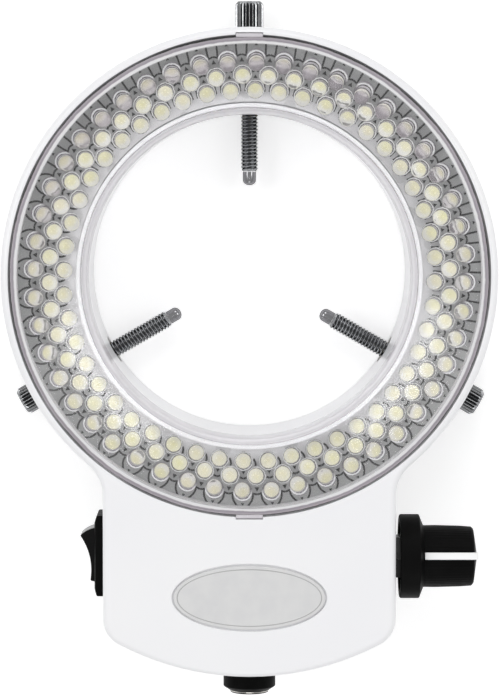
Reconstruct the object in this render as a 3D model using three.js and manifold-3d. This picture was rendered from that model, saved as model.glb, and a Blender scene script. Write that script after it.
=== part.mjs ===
import * as THREE from 'three';
import { mergeVertices } from 'three/addons/utils/BufferGeometryUtils.js';
import Module from 'manifold-3d';

// Ring lamp for a stereo microscope, in millimetres.
// The light shines along +Z and the ring's axis is the Z axis. The rear rim of the clamp collar lies at
// z = 0, the control box points along -Y, the switch is on its -X side and the dimmer on its +X side.

const wasm = await Module();
wasm.setup();

// Clearances shared by all pieces
const gap = 0.3;
const slip = 0.1;
const overrun = 2;
const weld = 0.0001;

// Facets
const ringSides = 48;
const turnedSides = 14;
const smallSides = 12;
const knobSides = 24;
const ledSides = 6;
const leadSides = 6;
const leadSteps = 8;
const arcStep = Math.PI / 24;
const edgeSteps = 2;
const ovalSteps = 12;

// Ring and box shell
const shell = {
  boreRadius: 31.25,
  wall: 1.5,
  front: 2,
  edge: 1.3,
  tubeLip: 0.7,
  floor: 1.6,
  wireSpace: 3.9,
  ledgeWidth: 1.3,
  ledgeHeight: 1.9,
  wireSlotWidth: 5,
  wireSlotDepth: 3,
};
const box = {
  halfWidth: 28.4,
  length: 29.5,
  bottomRadius: 54,
  cornerRadius: 5.5,
  shoulderRadius: 8,
};

// Rear cover and its collar
const cover = {
  plate: 2,
  lipWidth: 1.2,
  lipHeight: 1.5,
  boardBossRadius: 2.2,
  boardPegRadius: 0.9,
  boardPegReach: 0.5,
  boardBossInset: 2.6,
};
const collar = { wall: 6.25, height: 9.5 };

// Clear window with its two tabs
const pane = { thickness: 1.5, wall: 1.15, edge: 0.4, tabWidth: 5, tabReach: 0.5, tabDepth: 1.5 };

// LED board and LEDs
const board = { width: 12.5, thickness: 1.6 };
const led = {
  radius: 1.5,
  height: 5.2,
  headroom: 0.8,
  perRow: 48,
  trackWidth: 0.8,
  trackHeight: 0.4,
};
const rows = [
  { name: 'inner', placeShare: 0.208, lean: 8, offsetShare: -0.23 },
  { name: 'middle', placeShare: 0.44, lean: 9, offsetShare: 0.27 },
  { name: 'outer', placeShare: 0.688, lean: 18, offsetShare: -0.23 },
];

// Clamp screws, each with its own setting: where its nose ends, as a share of the bore's radius
const clamp = {
  threadRadius: 1.75,
  threadChamfer: 0.35,
  noseRadius: 1.3,
  noseLength: 2.8,
  headRadius: 2.8,
  headLength: 8,
  headChamfer: 0.5,
  length: 36.5,
  height: 5,
  insertWall: 0.6,
  insertSetback: 0.6,
};
const clampScrews = [
  { name: 'top', direction: 90, noseShare: 0.55 },
  { name: 'left', direction: 210, noseShare: 0.509 },
  { name: 'right', direction: 330, noseShare: 0.525 },
];

// Screws that hold the rear cover
const rearScrew = {
  postRadius: 2.6,
  shankRadius: 1.2,
  length: 5,
  headRadius: 2.3,
  headHeight: 0.9,
  headRecess: 1,
  slotWidth: 0.6,
  setback: 3.1,
};
const ringPostDirections = [0, 60, 120, 180];

// Badge plate in its recess
const badge = { width: 29.4, height: 12.5, thickness: 0.6, edge: 0.2, recess: 0.5, placeShare: 0.481 };

// Rocker switch
const rocker = {
  placeShare: 0.224,
  bezelLength: 16.8,
  bezelWidth: 10.5,
  bezelHeight: 2,
  bezelBevel: 1.4,
  bezelBevelRun: 2.2,
  bodyLength: 12.9,
  bodyWidth: 8.4,
  bodyDepth: 12.4,
  radius: 5.4,
  width: 6.4,
  pivotDepth: 1.2,
  dish: 0.9,
  tipAngle: 33,
  footAngle: 20,
  tilt: 12.5,
  axleRadius: 0.6,
  axleReach: 0.45,
  terminalLength: 5,
  terminalWidth: 4,
  terminalThickness: 0.8,
  terminalSpread: 3.2,
};

// Dimmer: potentiometer, nut, knob and pointer
const dimmer = {
  placeShare: 0.247,
  bodyLength: 10.5,
  bodyWidth: 9.5,
  bodyDepth: 5,
  bodyBack: 1.2,
  bushRadius: 3.2,
  bushReach: 2.1,
  shaftRadius: 2.2,
  shaftReach: 12.5,
  nutWidth: 7.9,
  nutHeight: 1.8,
};
const knob = {
  standoff: 0.7,
  skirtRadius: 8.25,
  skirtHeight: 4.7,
  skirtEdge: 0.7,
  gripRadius: 6.15,
  gripTopRadius: 5.9,
  gripEdge: 0.8,
  height: 15.3,
  wall: 1.2,
  pointerWidth: 1.4,
  pointerDepth: 0.6,
  pointerProud: 0.25,
};

// Power inlet
const inlet = {
  barrelRadius: 4,
  barrelLength: 12.4,
  flangeRadius: 5.1,
  flangeHeight: 3.4,
  noseRadius: 3.3,
  noseHeight: 0.6,
  flangeChamfer: 1,
  boreRadius: 2.85,
  boreDepth: 9.5,
  sleeveWall: 0.25,
  sleeveProud: 0.2,
  pinRadius: 1,
  pinLength: 8.4,
  nutWidth: 10.8,
  nutHeight: 2,
};

// Driver board in the box
const driver = {
  width: 26,
  depth: 14,
  thickness: 1.6,
  standoff: 1.6,
  setback: 2.5,
  offset: 3,
  coilRadius: 3.4,
  coilHeight: 4.4,
  capacitorRadius: 2.5,
  capacitorHeight: 7.5,
  chipWidth: 5,
  chipDepth: 4,
  chipHeight: 1.6,
  transistorWidth: 6.5,
  transistorDepth: 6,
  transistorHeight: 2.3,
};
const driverPlaceShares = {
  coil: [0.22, 0.2],
  capacitor: [0.2, -0.26],
  chip: [-0.15, -0.25],
  transistor: [-0.22, 0.2],
  fromSwitch: [-0.42, 0.17],
  toDimmerUpper: [0.45, 0.1],
  toDimmerLower: [0.45, -0.08],
  toLeds: [0, 0.32],
};
const lead = { radius: 0.6, bow: 3, spread: 0.9, tagSpread: 2 };

// Colours and finishes
const whiteShell = { color: 0xf2f2f4, roughness: 0.35, metalness: 0 };
const blackPlastic = { color: 0x141414, roughness: 0.5, metalness: 0 };
const blackGloss = { color: 0x0c0c0d, roughness: 0.25, metalness: 0 };
const clearPane = { color: 0xdfe4e6, roughness: 0.05, metalness: 0, transparent: true, opacity: 0.35 };
const boardGrey = { color: 0x8f9391, roughness: 0.6, metalness: 0 };
const boardGreen = { color: 0x2f6b45, roughness: 0.6, metalness: 0 };
const ledCream = { color: 0xefe9c8, roughness: 0.2, metalness: 0 };
const brightChrome = { color: 0xb9bcc0, roughness: 0.18, metalness: 1 };
const nickel = { color: 0xa9a59b, roughness: 0.3, metalness: 1 };
const brass = { color: 0xb79a4b, roughness: 0.35, metalness: 1 };
const zinc = { color: 0x9a9da1, roughness: 0.4, metalness: 1 };
const badgeGrey = { color: 0xd9d9d9, roughness: 0.3, metalness: 0.4 };
const pointerWhite = { color: 0xf4f4f4, roughness: 0.5, metalness: 0 };
const ferrite = { color: 0x2c2c2e, roughness: 0.8, metalness: 0 };
const redLead = { color: 0xb3211c, roughness: 0.5, metalness: 0 };
const blackLead = { color: 0x1a1a1a, roughness: 0.5, metalness: 0 };

// Levels, from the collar's rim to the front face
const plateTop = collar.height + cover.plate;
const floorBottom = plateTop + shell.wireSpace;
const floorTop = floorBottom + shell.floor;
const boardSeat = floorTop + shell.ledgeHeight;
const boardTop = boardSeat + board.thickness;
const paneUnder = boardTop + led.height + led.headroom;
const front = paneUnder + pane.thickness;
const controlLevel = (collar.height + front) / 2;

// Radii, from the bore outwards
const collarRadius = shell.boreRadius + collar.wall;
const tubeRadius = shell.boreRadius + pane.wall + gap + shell.tubeLip;
const boardInner = tubeRadius + gap;
const boardOuter = boardInner + board.width;
const boardMiddle = (boardInner + boardOuter) / 2;
const lipRadius = boardOuter + gap;
const ringRadius = lipRadius + shell.wall;
const paneRadius = lipRadius - gap;

// Reach of the box from the ring's axis, and the controls' places along it
const boxReach = ringRadius + box.length;
const sideWallInner = box.halfWidth - shell.wall;
const bottomWallInner = boxReach - shell.wall;
const rockerY = -(ringRadius + rocker.placeShare * box.length);
const dimmerY = -(ringRadius + dimmer.placeShare * box.length);
const badgeY = -(ringRadius + badge.placeShare * box.length);

// A closed geometry as a solid that can be joined and cut
function solid(geometry) {
  geometry.deleteAttribute('normal');
  geometry.deleteAttribute('uv');
  const merged = mergeVertices(geometry, weld);
  const corners = merged.index.array;
  const triangles = [];
  for (let i = 0; i < corners.length; i += 3) {
    const [a, b, c] = corners.slice(i, i + 3);
    if (a !== b && b !== c && c !== a) triangles.push(a, b, c);
  }
  return new wasm.Manifold(new wasm.Mesh({
    numProp: 3,
    vertProperties: new Float32Array(merged.attributes.position.array),
    triVerts: new Uint32Array(triangles),
  }));
}

// A solid as a geometry
function geometryOf(manifold) {
  const { vertProperties, triVerts } = manifold.getMesh();
  const geometry = new THREE.BufferGeometry();
  geometry.setAttribute('position', new THREE.BufferAttribute(vertProperties, 3));
  geometry.setIndex(new THREE.BufferAttribute(triVerts, 1));
  return geometry;
}

// Base shapes, each standing along Z
function cylinder(radius, bottom, top, sides = turnedSides) {
  return new THREE.CylinderGeometry(radius, radius, top - bottom, sides)
    .rotateX(Math.PI / 2)
    .translate(0, 0, (bottom + top) / 2);
}

function turned(profile, sides = turnedSides) {
  const points = profile.map(([radius, height]) => new THREE.Vector2(radius, height));
  return new THREE.LatheGeometry(points, sides).rotateX(Math.PI / 2);
}

function tube(inner, outer, bottom, top, sides = ringSides) {
  return turned([[inner, bottom], [outer, bottom], [outer, top], [inner, top], [inner, bottom]], sides);
}

function block(x0, x1, y0, y1, z0, z1) {
  return new THREE.BoxGeometry(x1 - x0, y1 - y0, z1 - z0)
    .translate((x0 + x1) / 2, (y0 + y1) / 2, (z0 + z1) / 2);
}

function prism(points, bottom, top) {
  return new THREE.ExtrudeGeometry(new THREE.Shape(points), { depth: top - bottom, bevelEnabled: false })
    .translate(0, 0, bottom);
}

// An extrusion whose two ends are rounded by the edge radius
function roundedPrism(points, bottom, top, edge, steps = edgeSteps) {
  return new THREE.ExtrudeGeometry(new THREE.Shape(points), {
    depth: top - bottom - 2 * edge,
    bevelThickness: edge,
    bevelSize: edge,
    bevelOffset: -edge,
    bevelSegments: steps,
  }).translate(0, 0, bottom + edge);
}

function hexagon(acrossFlats, bottom, top) {
  return cylinder(acrossFlats / 2 / Math.cos(Math.PI / 6), bottom, top, 6).rotateZ(Math.PI / 6);
}

// Turns a shape that stands along Z so that it points sideways
const towardsX = (geometry) => geometry.rotateY(Math.PI / 2);
const towardsMinusY = (geometry) => geometry.rotateX(Math.PI / 2);

function radians(degrees) {
  return degrees * Math.PI / 180;
}

function onRing(radius, degrees) {
  return [radius * Math.cos(radians(degrees)), radius * Math.sin(radians(degrees))];
}

function arc(x, y, radius, from, to) {
  const steps = Math.max(2, Math.ceil(Math.abs(to - from) / arcStep));
  return Array.from({ length: steps + 1 }, (_, i) => {
    const angle = from + (to - from) * i / steps;
    return new THREE.Vector2(x + radius * Math.cos(angle), y + radius * Math.sin(angle));
  });
}

// The outline of ring and box, drawn in by an inset
function outline(inset) {
  const halfWidth = box.halfWidth - inset;
  const shoulder = box.shoulderRadius + inset;
  const corner = Math.max(box.cornerRadius - inset, slip);
  const bottomRadius = box.bottomRadius - inset;
  const bottomY = box.bottomRadius - boxReach;
  const shoulderX = halfWidth + shoulder;
  const shoulderY = -Math.sqrt((ringRadius - inset + shoulder) ** 2 - shoulderX ** 2);
  const cornerX = halfWidth - corner;
  const cornerY = bottomY - Math.sqrt((bottomRadius - corner) ** 2 - cornerX ** 2);
  const shoulderTurn = Math.atan2(-shoulderY, shoulderX);
  const cornerTurn = Math.atan2(cornerX, bottomY - cornerY);
  const down = 1.5 * Math.PI;
  return [
    ...arc(0, 0, ringRadius - inset, -shoulderTurn, Math.PI + shoulderTurn),
    ...arc(-shoulderX, shoulderY, shoulder, shoulderTurn, 0).slice(1),
    ...arc(-cornerX, cornerY, corner, Math.PI, down - cornerTurn),
    ...arc(0, bottomY, bottomRadius, down - cornerTurn, down + cornerTurn).slice(1, -1),
    ...arc(cornerX, cornerY, corner, down + cornerTurn, 2 * Math.PI),
    ...arc(shoulderX, shoulderY, shoulder, Math.PI, Math.PI - shoulderTurn).slice(0, -1),
  ];
}

// Where a plane piece of the given half width can lie against the curved bottom wall
function bottomWallReach(wallRadius, halfWidth) {
  return boxReach - box.bottomRadius + Math.sqrt(wallRadius ** 2 - halfWidth ** 2);
}

// Places of the posts and their screws
const postInset = shell.wall + gap + cover.lipWidth + gap + rearScrew.postRadius;
const boxPostX = box.halfWidth - rocker.bodyDepth - gap - rearScrew.postRadius;
const boxPostY = -bottomWallReach(box.bottomRadius - postInset, boxPostX);
const boxPosts = [[-boxPostX, boxPostY], [boxPostX, boxPostY]];
const ringPosts = ringPostDirections.map((direction) => onRing(collarRadius + rearScrew.setback, direction));

// Places of the driver board and its four pegs
const driverCentre = { x: driver.offset, y: -(ringRadius + driver.setback + driver.depth / 2) };
const driverBottom = plateTop + driver.standoff;
const driverTop = driverBottom + driver.thickness;
const pegX = driver.width / 2 - cover.boardBossInset;
const pegY = driver.depth / 2 - cover.boardBossInset;
const pegs = [[-pegX, -pegY], [pegX, -pegY], [-pegX, pegY], [pegX, pegY]]
  .map(([x, y]) => [driverCentre.x + x, driverCentre.y + y]);

const lamp = new THREE.Group();
lamp.name = 'ring_lamp';

function addPiece(name, geometry, finish, parent = lamp) {
  const mesh = new THREE.Mesh(geometry, new THREE.MeshStandardMaterial({ ...finish, flatShading: true }));
  mesh.name = name;
  parent.add(mesh);
  return mesh;
}

// An oval outline with a margin round the badge
function badgeOval(margin) {
  const curve = new THREE.EllipseCurve(0, 0, badge.width / 2 + margin, badge.height / 2 + margin);
  return curve.getPoints(2 * ovalSteps).slice(1).map((point) => {
    return new THREE.Vector2(point.x, point.y + badgeY);
  });
}

// Front housing: ring shell, bore tube, board floor, box front and walls
function frontHousing() {
  let body = solid(roundedPrism(outline(0), plateTop - shell.edge, front, shell.edge));
  const below = solid(prism(outline(-overrun), plateTop - shell.edge - overrun, plateTop));
  body = body.subtract(below);
  const ringPocket = solid(tube(tubeRadius, lipRadius, boardSeat, front + overrun));
  const ledgeInner = tubeRadius + shell.ledgeWidth;
  const ledgeOuter = lipRadius - shell.ledgeWidth;
  const solderRecess = solid(tube(ledgeInner, ledgeOuter, floorTop, boardSeat + overrun));
  const bore = solid(cylinder(shell.boreRadius, 0, front + overrun, ringSides));
  const paneWallRadius = shell.boreRadius + pane.wall + gap;
  const paneWallRoom = solid(cylinder(paneWallRadius, boardTop - gap, front + overrun, ringSides));
  const paneRoom = solid(cylinder(tubeRadius + gap, paneUnder - gap, front + overrun, ringSides));
  const tubeCore = solid(cylinder(tubeRadius, 0, front, ringSides));
  const wireSpace = solid(prism(outline(shell.wall), 0, floorBottom)).subtract(tubeCore);
  const ringCore = solid(cylinder(ringRadius, 0, front, ringSides));
  const boxSpace = solid(prism(outline(shell.wall), 0, front - shell.front)).subtract(ringCore);
  for (const cut of [ringPocket, solderRecess, bore, paneWallRoom, paneRoom, wireSpace, boxSpace]) {
    body = body.subtract(cut);
  }
  for (const [x, y] of ringPosts) {
    const post = cylinder(rearScrew.postRadius, plateTop, floorBottom + shell.floor / 2);
    body = body.add(solid(post.translate(x, y, 0)));
  }
  for (const [x, y] of boxPosts) {
    const post = cylinder(rearScrew.postRadius, plateTop, front - shell.front / 2);
    body = body.add(solid(post.translate(x, y, 0)));
  }
  for (const [x, y] of [...ringPosts, ...boxPosts]) {
    const depth = rearScrew.headRecess - cover.plate + rearScrew.length + gap;
    const pilot = cylinder(rearScrew.shankRadius + gap, 0, plateTop + depth, smallSides);
    body = body.subtract(solid(pilot.translate(x, y, 0)));
  }
  return geometryOf(wallOpenings().reduce((result, cut) => result.subtract(cut), body));
}

// Openings in the housing's walls for the controls, the window's tabs, the badge and the leads
function wallOpenings() {
  const slotY = -boardMiddle;
  const switchHalfLength = rocker.bodyLength / 2 + gap;
  const switchHalfWidth = rocker.bodyWidth / 2 + gap;
  const cuts = [
    block(-box.halfWidth - overrun, -sideWallInner + gap,
      rockerY - switchHalfLength, rockerY + switchHalfLength,
      controlLevel - switchHalfWidth, controlLevel + switchHalfWidth),
    towardsX(cylinder(dimmer.bushRadius + gap, sideWallInner - gap, box.halfWidth + overrun))
      .translate(0, dimmerY, controlLevel),
    towardsMinusY(cylinder(inlet.barrelRadius + gap, bottomWallInner - overrun, boxReach + overrun))
      .translate(0, 0, controlLevel),
    prism(badgeOval(gap), front - badge.recess, front + overrun),
    block(driver.offset - shell.wireSlotWidth / 2, driver.offset + shell.wireSlotWidth / 2,
      slotY - shell.wireSlotDepth / 2, slotY + shell.wireSlotDepth / 2,
      floorBottom - gap, floorTop + gap),
  ];
  for (const side of [-1, 1]) {
    const notchEnd = paneRadius + pane.tabReach + gap;
    const halfNotch = pane.tabWidth / 2 + gap;
    const near = Math.min(side * paneRadius, side * notchEnd);
    const far = Math.max(side * paneRadius, side * notchEnd);
    cuts.push(block(-halfNotch, halfNotch, near, far, front - pane.tabDepth - gap, front + overrun));
  }
  return cuts.map(solid);
}

// Rear cover: plate with a locating lip, clamp collar and pegs for the driver board
function rearCover() {
  let body = solid(roundedPrism(outline(0), collar.height, plateTop + shell.edge, shell.edge, 1));
  body = body.subtract(solid(prism(outline(-overrun), plateTop, plateTop + shell.edge + overrun)));
  const lipOutside = shell.wall + gap;
  const lip = solid(prism(outline(lipOutside), plateTop - slip, plateTop + cover.lipHeight))
    .subtract(solid(prism(outline(lipOutside + cover.lipWidth), 0, plateTop + cover.lipHeight + overrun)));
  body = body.add(lip);
  body = body.add(solid(cylinder(collarRadius, 0, collar.height + slip, ringSides)));
  body = body.subtract(solid(cylinder(shell.boreRadius, -overrun, plateTop + overrun, ringSides)));
  for (const [x, y] of pegs) {
    const pegTop = driverTop + cover.boardPegReach;
    const peg = cylinder(cover.boardPegRadius, plateTop - slip, pegTop, smallSides);
    const boss = cylinder(cover.boardBossRadius, plateTop - slip, driverBottom, smallSides);
    body = body.add(solid(boss.translate(x, y, 0)));
    body = body.add(solid(peg.translate(x, y, 0)));
  }
  for (const [x, y] of [...ringPosts, ...boxPosts]) {
    const hole = cylinder(rearScrew.shankRadius + gap, 0, plateTop + overrun, smallSides);
    const recess = cylinder(rearScrew.headRadius + gap, 0, collar.height + rearScrew.headRecess);
    body = body.subtract(solid(hole.translate(x, y, 0)));
    body = body.subtract(solid(recess.translate(x, y, 0)));
  }
  for (const { direction } of clampScrews) {
    const radius = clamp.threadRadius + gap + clamp.insertWall + gap;
    const hole = towardsX(cylinder(radius, shell.boreRadius - overrun, collarRadius + overrun));
    hole.translate(0, 0, clamp.height).rotateZ(radians(direction));
    body = body.subtract(solid(hole));
  }
  return geometryOf(body);
}

// Clear window: flat pane with an outer and an inner wall, and a tab at top and bottom
function clearWindow() {
  const innerWall = shell.boreRadius + pane.wall;
  const outerWall = paneRadius - pane.wall;
  let body = solid(turned([
    [shell.boreRadius, boardTop],
    [innerWall, boardTop],
    [innerWall, paneUnder],
    [outerWall, paneUnder],
    [outerWall, boardTop + gap],
    [paneRadius, boardTop + gap],
    [paneRadius, front - pane.edge],
    [paneRadius - pane.edge, front],
    [shell.boreRadius + pane.edge, front],
    [shell.boreRadius, front - pane.edge],
    [shell.boreRadius, boardTop],
  ], ringSides));
  for (const side of [-1, 1]) {
    const root = side * (paneRadius - pane.wall / 2);
    const tip = side * (paneRadius + pane.tabReach);
    const tab = block(-pane.tabWidth / 2, pane.tabWidth / 2,
      Math.min(root, tip), Math.max(root, tip), front - pane.tabDepth, front - pane.edge);
    body = body.add(solid(tab));
  }
  return geometryOf(body);
}

// One LED that stands on the board and leans towards the axis
function ledShape(lean) {
  const domeStart = led.height - led.radius;
  const domeTurn = Math.PI / 4;
  const shape = turned([
    [0, 0],
    [led.radius, 0],
    [led.radius, domeStart],
    [led.radius * Math.cos(domeTurn), domeStart + led.radius * Math.sin(domeTurn)],
    [0, led.height],
  ], ledSides).rotateZ(Math.PI / 2);
  return shape.applyMatrix4(new THREE.Matrix4().makeShear(0, 0, 0, 0, -Math.tan(radians(lean)), 0));
}

// A row of LEDs, joined by the low track that they are soldered to
function ledRow({ placeShare, lean, offsetShare }) {
  const radius = boardInner + placeShare * (boardOuter - boardInner);
  const pitch = 2 * Math.PI / led.perRow;
  const phase = offsetShare * pitch;
  const track = turned([
    [radius - led.trackWidth / 2, 0],
    [radius + led.trackWidth / 2, 0],
    [radius, led.trackHeight],
    [radius - led.trackWidth / 2, 0],
  ], led.perRow).rotateZ(phase);
  let row = solid(track);
  for (let i = 0; i < led.perRow; i += 1) {
    row = row.add(solid(ledShape(lean).translate(radius, 0, 0).rotateZ(phase + i * pitch)));
  }
  return geometryOf(row).translate(0, 0, boardTop);
}

// Clamp screw, its nose and its insert, along +X from the ring's axis before the group is turned
function addClampScrew({ name, direction, noseShare }) {
  const noseEnd = noseShare * shell.boreRadius;
  const group = new THREE.Group();
  group.position.z = clamp.height;
  group.rotation.z = radians(direction);
  lamp.add(group);
  const roundness = Math.SQRT1_2;
  const nose = turned([
    [0, 0],
    [clamp.noseRadius * roundness, clamp.noseRadius * (1 - roundness)],
    [clamp.noseRadius, clamp.noseRadius],
    [clamp.noseRadius, clamp.noseLength - slip],
    [0, clamp.noseLength - slip],
  ], smallSides);
  const headStart = clamp.length - clamp.headLength;
  const screw = turned([
    [0, clamp.noseLength],
    [clamp.threadRadius - clamp.threadChamfer, clamp.noseLength],
    [clamp.threadRadius, clamp.noseLength + clamp.threadChamfer],
    [clamp.threadRadius, headStart],
    [clamp.headRadius - clamp.headChamfer, headStart],
    [clamp.headRadius, headStart + clamp.headChamfer],
    [clamp.headRadius, clamp.length - clamp.headChamfer],
    [clamp.headRadius - clamp.headChamfer, clamp.length],
    [0, clamp.length],
  ]);
  const bore = clamp.threadRadius + gap;
  const start = shell.boreRadius + clamp.insertSetback;
  const end = collarRadius - clamp.insertSetback;
  const insert = tube(bore, bore + clamp.insertWall, start, end, turnedSides);
  addPiece(`clamp_screw_${name}`, towardsX(screw).translate(noseEnd, 0, 0), brightChrome, group);
  addPiece(`clamp_screw_nose_${name}`, towardsX(nose).translate(noseEnd, 0, 0), brightChrome, group);
  addPiece(`clamp_insert_${name}`, towardsX(insert), brass, group);
}

// Slotted self-tapping screw, head down
function rearScrewShape([x, y]) {
  const headBottom = collar.height + rearScrew.headRecess - rearScrew.headHeight;
  const headTop = collar.height + rearScrew.headRecess;
  const shank = turned([
    [0, headBottom],
    [rearScrew.headRadius, headBottom],
    [rearScrew.headRadius, headTop],
    [rearScrew.shankRadius, headTop],
    [rearScrew.shankRadius, headTop + rearScrew.length - rearScrew.shankRadius],
    [0, headTop + rearScrew.length],
  ], smallSides);
  const slot = block(-rearScrew.headRadius - overrun, rearScrew.headRadius + overrun,
    -rearScrew.slotWidth / 2, rearScrew.slotWidth / 2,
    headBottom - overrun, headBottom + rearScrew.headHeight / 2);
  return geometryOf(solid(shank).subtract(solid(slot)).translate([x, y, 0]));
}

// Switch body: bevelled bezel outside the wall, box behind it, pocket for the rocker
function switchBody() {
  const outside = -(box.halfWidth + rocker.bezelHeight);
  const wall = -box.halfWidth;
  const halfWidth = rocker.bezelWidth / 2;
  const bevelled = (halfLength) => [
    new THREE.Vector2(wall, -halfLength),
    new THREE.Vector2(wall, halfLength),
    new THREE.Vector2(outside + rocker.bezelHeight - rocker.bezelBevel, halfLength),
    new THREE.Vector2(outside, halfLength - rocker.bezelBevelRun),
    new THREE.Vector2(outside, rocker.bezelBevelRun - halfLength),
    new THREE.Vector2(outside + rocker.bezelHeight - rocker.bezelBevel, -halfLength),
  ];
  const alongLength = prism(bevelled(rocker.bezelLength / 2), -halfWidth, halfWidth);
  const alongWidth = prism(bevelled(halfWidth + rocker.bezelBevelRun / 2),
    -rocker.bezelLength / 2, rocker.bezelLength / 2).rotateX(Math.PI / 2);
  const body = block(wall, wall + rocker.bodyDepth, -rocker.bodyLength / 2, rocker.bodyLength / 2,
    -rocker.bodyWidth / 2, rocker.bodyWidth / 2);
  const pivotX = outside + rocker.pivotDepth;
  const swing = rocker.radius + gap;
  const pocket = block(outside - overrun, pivotX + swing, -swing, swing,
    -rocker.width / 2 - gap, rocker.width / 2 + gap);
  const axleHole = cylinder(rocker.axleRadius + gap, -rocker.bodyWidth, rocker.bodyWidth, smallSides)
    .translate(pivotX, 0, 0);
  const axleLimit = block(pivotX - rocker.bezelLength, pivotX + rocker.bezelLength,
    -rocker.bezelLength, rocker.bezelLength,
    -rocker.width / 2 - gap - rocker.axleReach, rocker.width / 2 + gap + rocker.axleReach);
  const shape = solid(alongLength).intersect(solid(alongWidth)).add(solid(body))
    .subtract(solid(pocket))
    .subtract(solid(axleHole).intersect(solid(axleLimit)));
  return geometryOf(shape).translate(0, rockerY, controlLevel);
}

// Rocker: a slice of a cylinder round its axle, with a dished face
function rockerShape() {
  const tip = radians(rocker.tipAngle);
  const foot = radians(rocker.footAngle);
  const across = rocker.radius * Math.cos(tip);
  const faceSteps = 6;
  const face = Array.from({ length: faceSteps - 1 }, (_, i) => {
    const along = 1 - 2 * (i + 1) / faceSteps;
    const height = rocker.radius * Math.sin(tip) - rocker.dish * (1 - along ** 2);
    return new THREE.Vector2(-height, along * across);
  });
  const upperEnd = arc(0, 0, rocker.radius, Math.PI / 2 - foot, Math.PI / 2 + tip);
  const lowerEnd = arc(0, 0, rocker.radius, 1.5 * Math.PI - tip, 1.5 * Math.PI + foot);
  const slice = prism([...upperEnd, ...face, ...lowerEnd], -rocker.width / 2, rocker.width / 2);
  const axleHalf = rocker.width / 2 + rocker.axleReach;
  const axle = cylinder(rocker.axleRadius, -axleHalf, axleHalf, smallSides);
  return geometryOf(solid(slice).add(solid(axle)));
}

function addSwitch() {
  const pivotX = -(box.halfWidth + rocker.bezelHeight - rocker.pivotDepth);
  addPiece('switch_body', switchBody(), blackPlastic);
  const rockerPiece = addPiece('switch_rocker', rockerShape(), blackGloss);
  rockerPiece.position.set(pivotX, rockerY, controlLevel);
  rockerPiece.rotation.z = radians(rocker.tilt);
  const start = rocker.bodyDepth - box.halfWidth;
  for (const [name, side] of [['upper', 1], ['lower', -1]]) {
    const y = side * rocker.terminalSpread + rockerY;
    addPiece(`switch_terminal_${name}`, block(start, start + rocker.terminalLength,
      y - rocker.terminalThickness / 2, y + rocker.terminalThickness / 2,
      controlLevel - rocker.terminalWidth / 2, controlLevel + rocker.terminalWidth / 2), brass);
  }
}

// Potentiometer body with the bush that passes through the wall
function dimmerBody() {
  const back = sideWallInner - dimmer.bodyDepth;
  const body = block(back, sideWallInner, -dimmer.bodyLength / 2, dimmer.bodyLength / 2,
    -dimmer.bodyWidth / 2, dimmer.bodyWidth / 2);
  const bush = towardsX(cylinder(dimmer.bushRadius, back + dimmer.bodyDepth / 2,
    box.halfWidth + dimmer.bushReach));
  const bore = towardsX(cylinder(dimmer.shaftRadius + gap, back + dimmer.bodyBack,
    box.halfWidth + dimmer.bushReach + overrun));
  const shape = solid(body).add(solid(bush)).subtract(solid(bore));
  return geometryOf(shape).translate(0, dimmerY, controlLevel);
}

// Knob along +X: flanged skirt, tapered grip, recess over the nut, bore for the shaft, pointer groove
function knobShape() {
  const bottom = box.halfWidth + knob.standoff;
  const top = bottom + knob.height;
  const skirtTop = bottom + knob.skirtHeight;
  const recessTop = box.halfWidth + Math.max(dimmer.bushReach, dimmer.nutHeight) + gap;
  const recessRadius = knob.skirtRadius - knob.wall - gap;
  const boreTop = box.halfWidth + dimmer.shaftReach + slip;
  const boreRadius = dimmer.shaftRadius + slip;
  const body = turned([
    [0, boreTop],
    [boreRadius, boreTop],
    [boreRadius, recessTop],
    [recessRadius, recessTop],
    [recessRadius, bottom],
    [knob.skirtRadius, bottom],
    [knob.skirtRadius, skirtTop - knob.skirtEdge],
    [knob.skirtRadius - knob.skirtEdge, skirtTop],
    [knob.gripRadius, skirtTop],
    [knob.gripTopRadius, top - knob.gripEdge],
    [knob.gripTopRadius - knob.gripEdge, top],
    [0, top],
  ], knobSides);
  const shape = solid(towardsX(body)).subtract(solid(pointerBar(slip)));
  return geometryOf(shape).translate(0, dimmerY, controlLevel);
}

// Pointer: a bar along the grip that bends over its end, with a margin when it cuts the groove
function pointerBar(margin) {
  const start = box.halfWidth + knob.standoff + knob.skirtHeight + slip - margin;
  const end = box.halfWidth + knob.standoff + knob.height;
  const floor = knob.gripTopRadius - knob.pointerDepth - margin;
  const proud = knob.gripRadius + knob.pointerProud;
  const inside = end - knob.pointerDepth - margin;
  const points = [
    [start, floor], [inside, floor], [inside, -margin],
    [end + knob.pointerProud, -margin], [end + knob.pointerProud, proud], [start, proud],
  ];
  const half = knob.pointerWidth / 2 + margin;
  return prism(points.map(([x, z]) => new THREE.Vector2(x, z)), -half, half).rotateX(Math.PI / 2);
}

function addDimmer() {
  addPiece('dimmer_body', dimmerBody(), zinc);
  const shaftStart = sideWallInner - dimmer.bodyDepth + dimmer.bodyBack + gap;
  const shaftEnd = box.halfWidth + dimmer.shaftReach;
  const shaft = towardsX(cylinder(dimmer.shaftRadius, shaftStart, shaftEnd));
  addPiece('dimmer_shaft', shaft.translate(0, dimmerY, controlLevel), nickel);
  const nutTop = box.halfWidth + dimmer.nutHeight;
  const nutBore = cylinder(dimmer.bushRadius + slip, box.halfWidth - overrun, nutTop + overrun);
  const nut = solid(towardsX(hexagon(dimmer.nutWidth, box.halfWidth, nutTop)))
    .subtract(solid(towardsX(nutBore)));
  addPiece('dimmer_nut', geometryOf(nut).translate(0, dimmerY, controlLevel), blackPlastic);
  addPiece('dimmer_knob', knobShape(), blackPlastic);
  const pointer = pointerBar(0).translate(0, dimmerY, controlLevel);
  addPiece('knob_pointer', pointer, pointerWhite);
}

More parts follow.
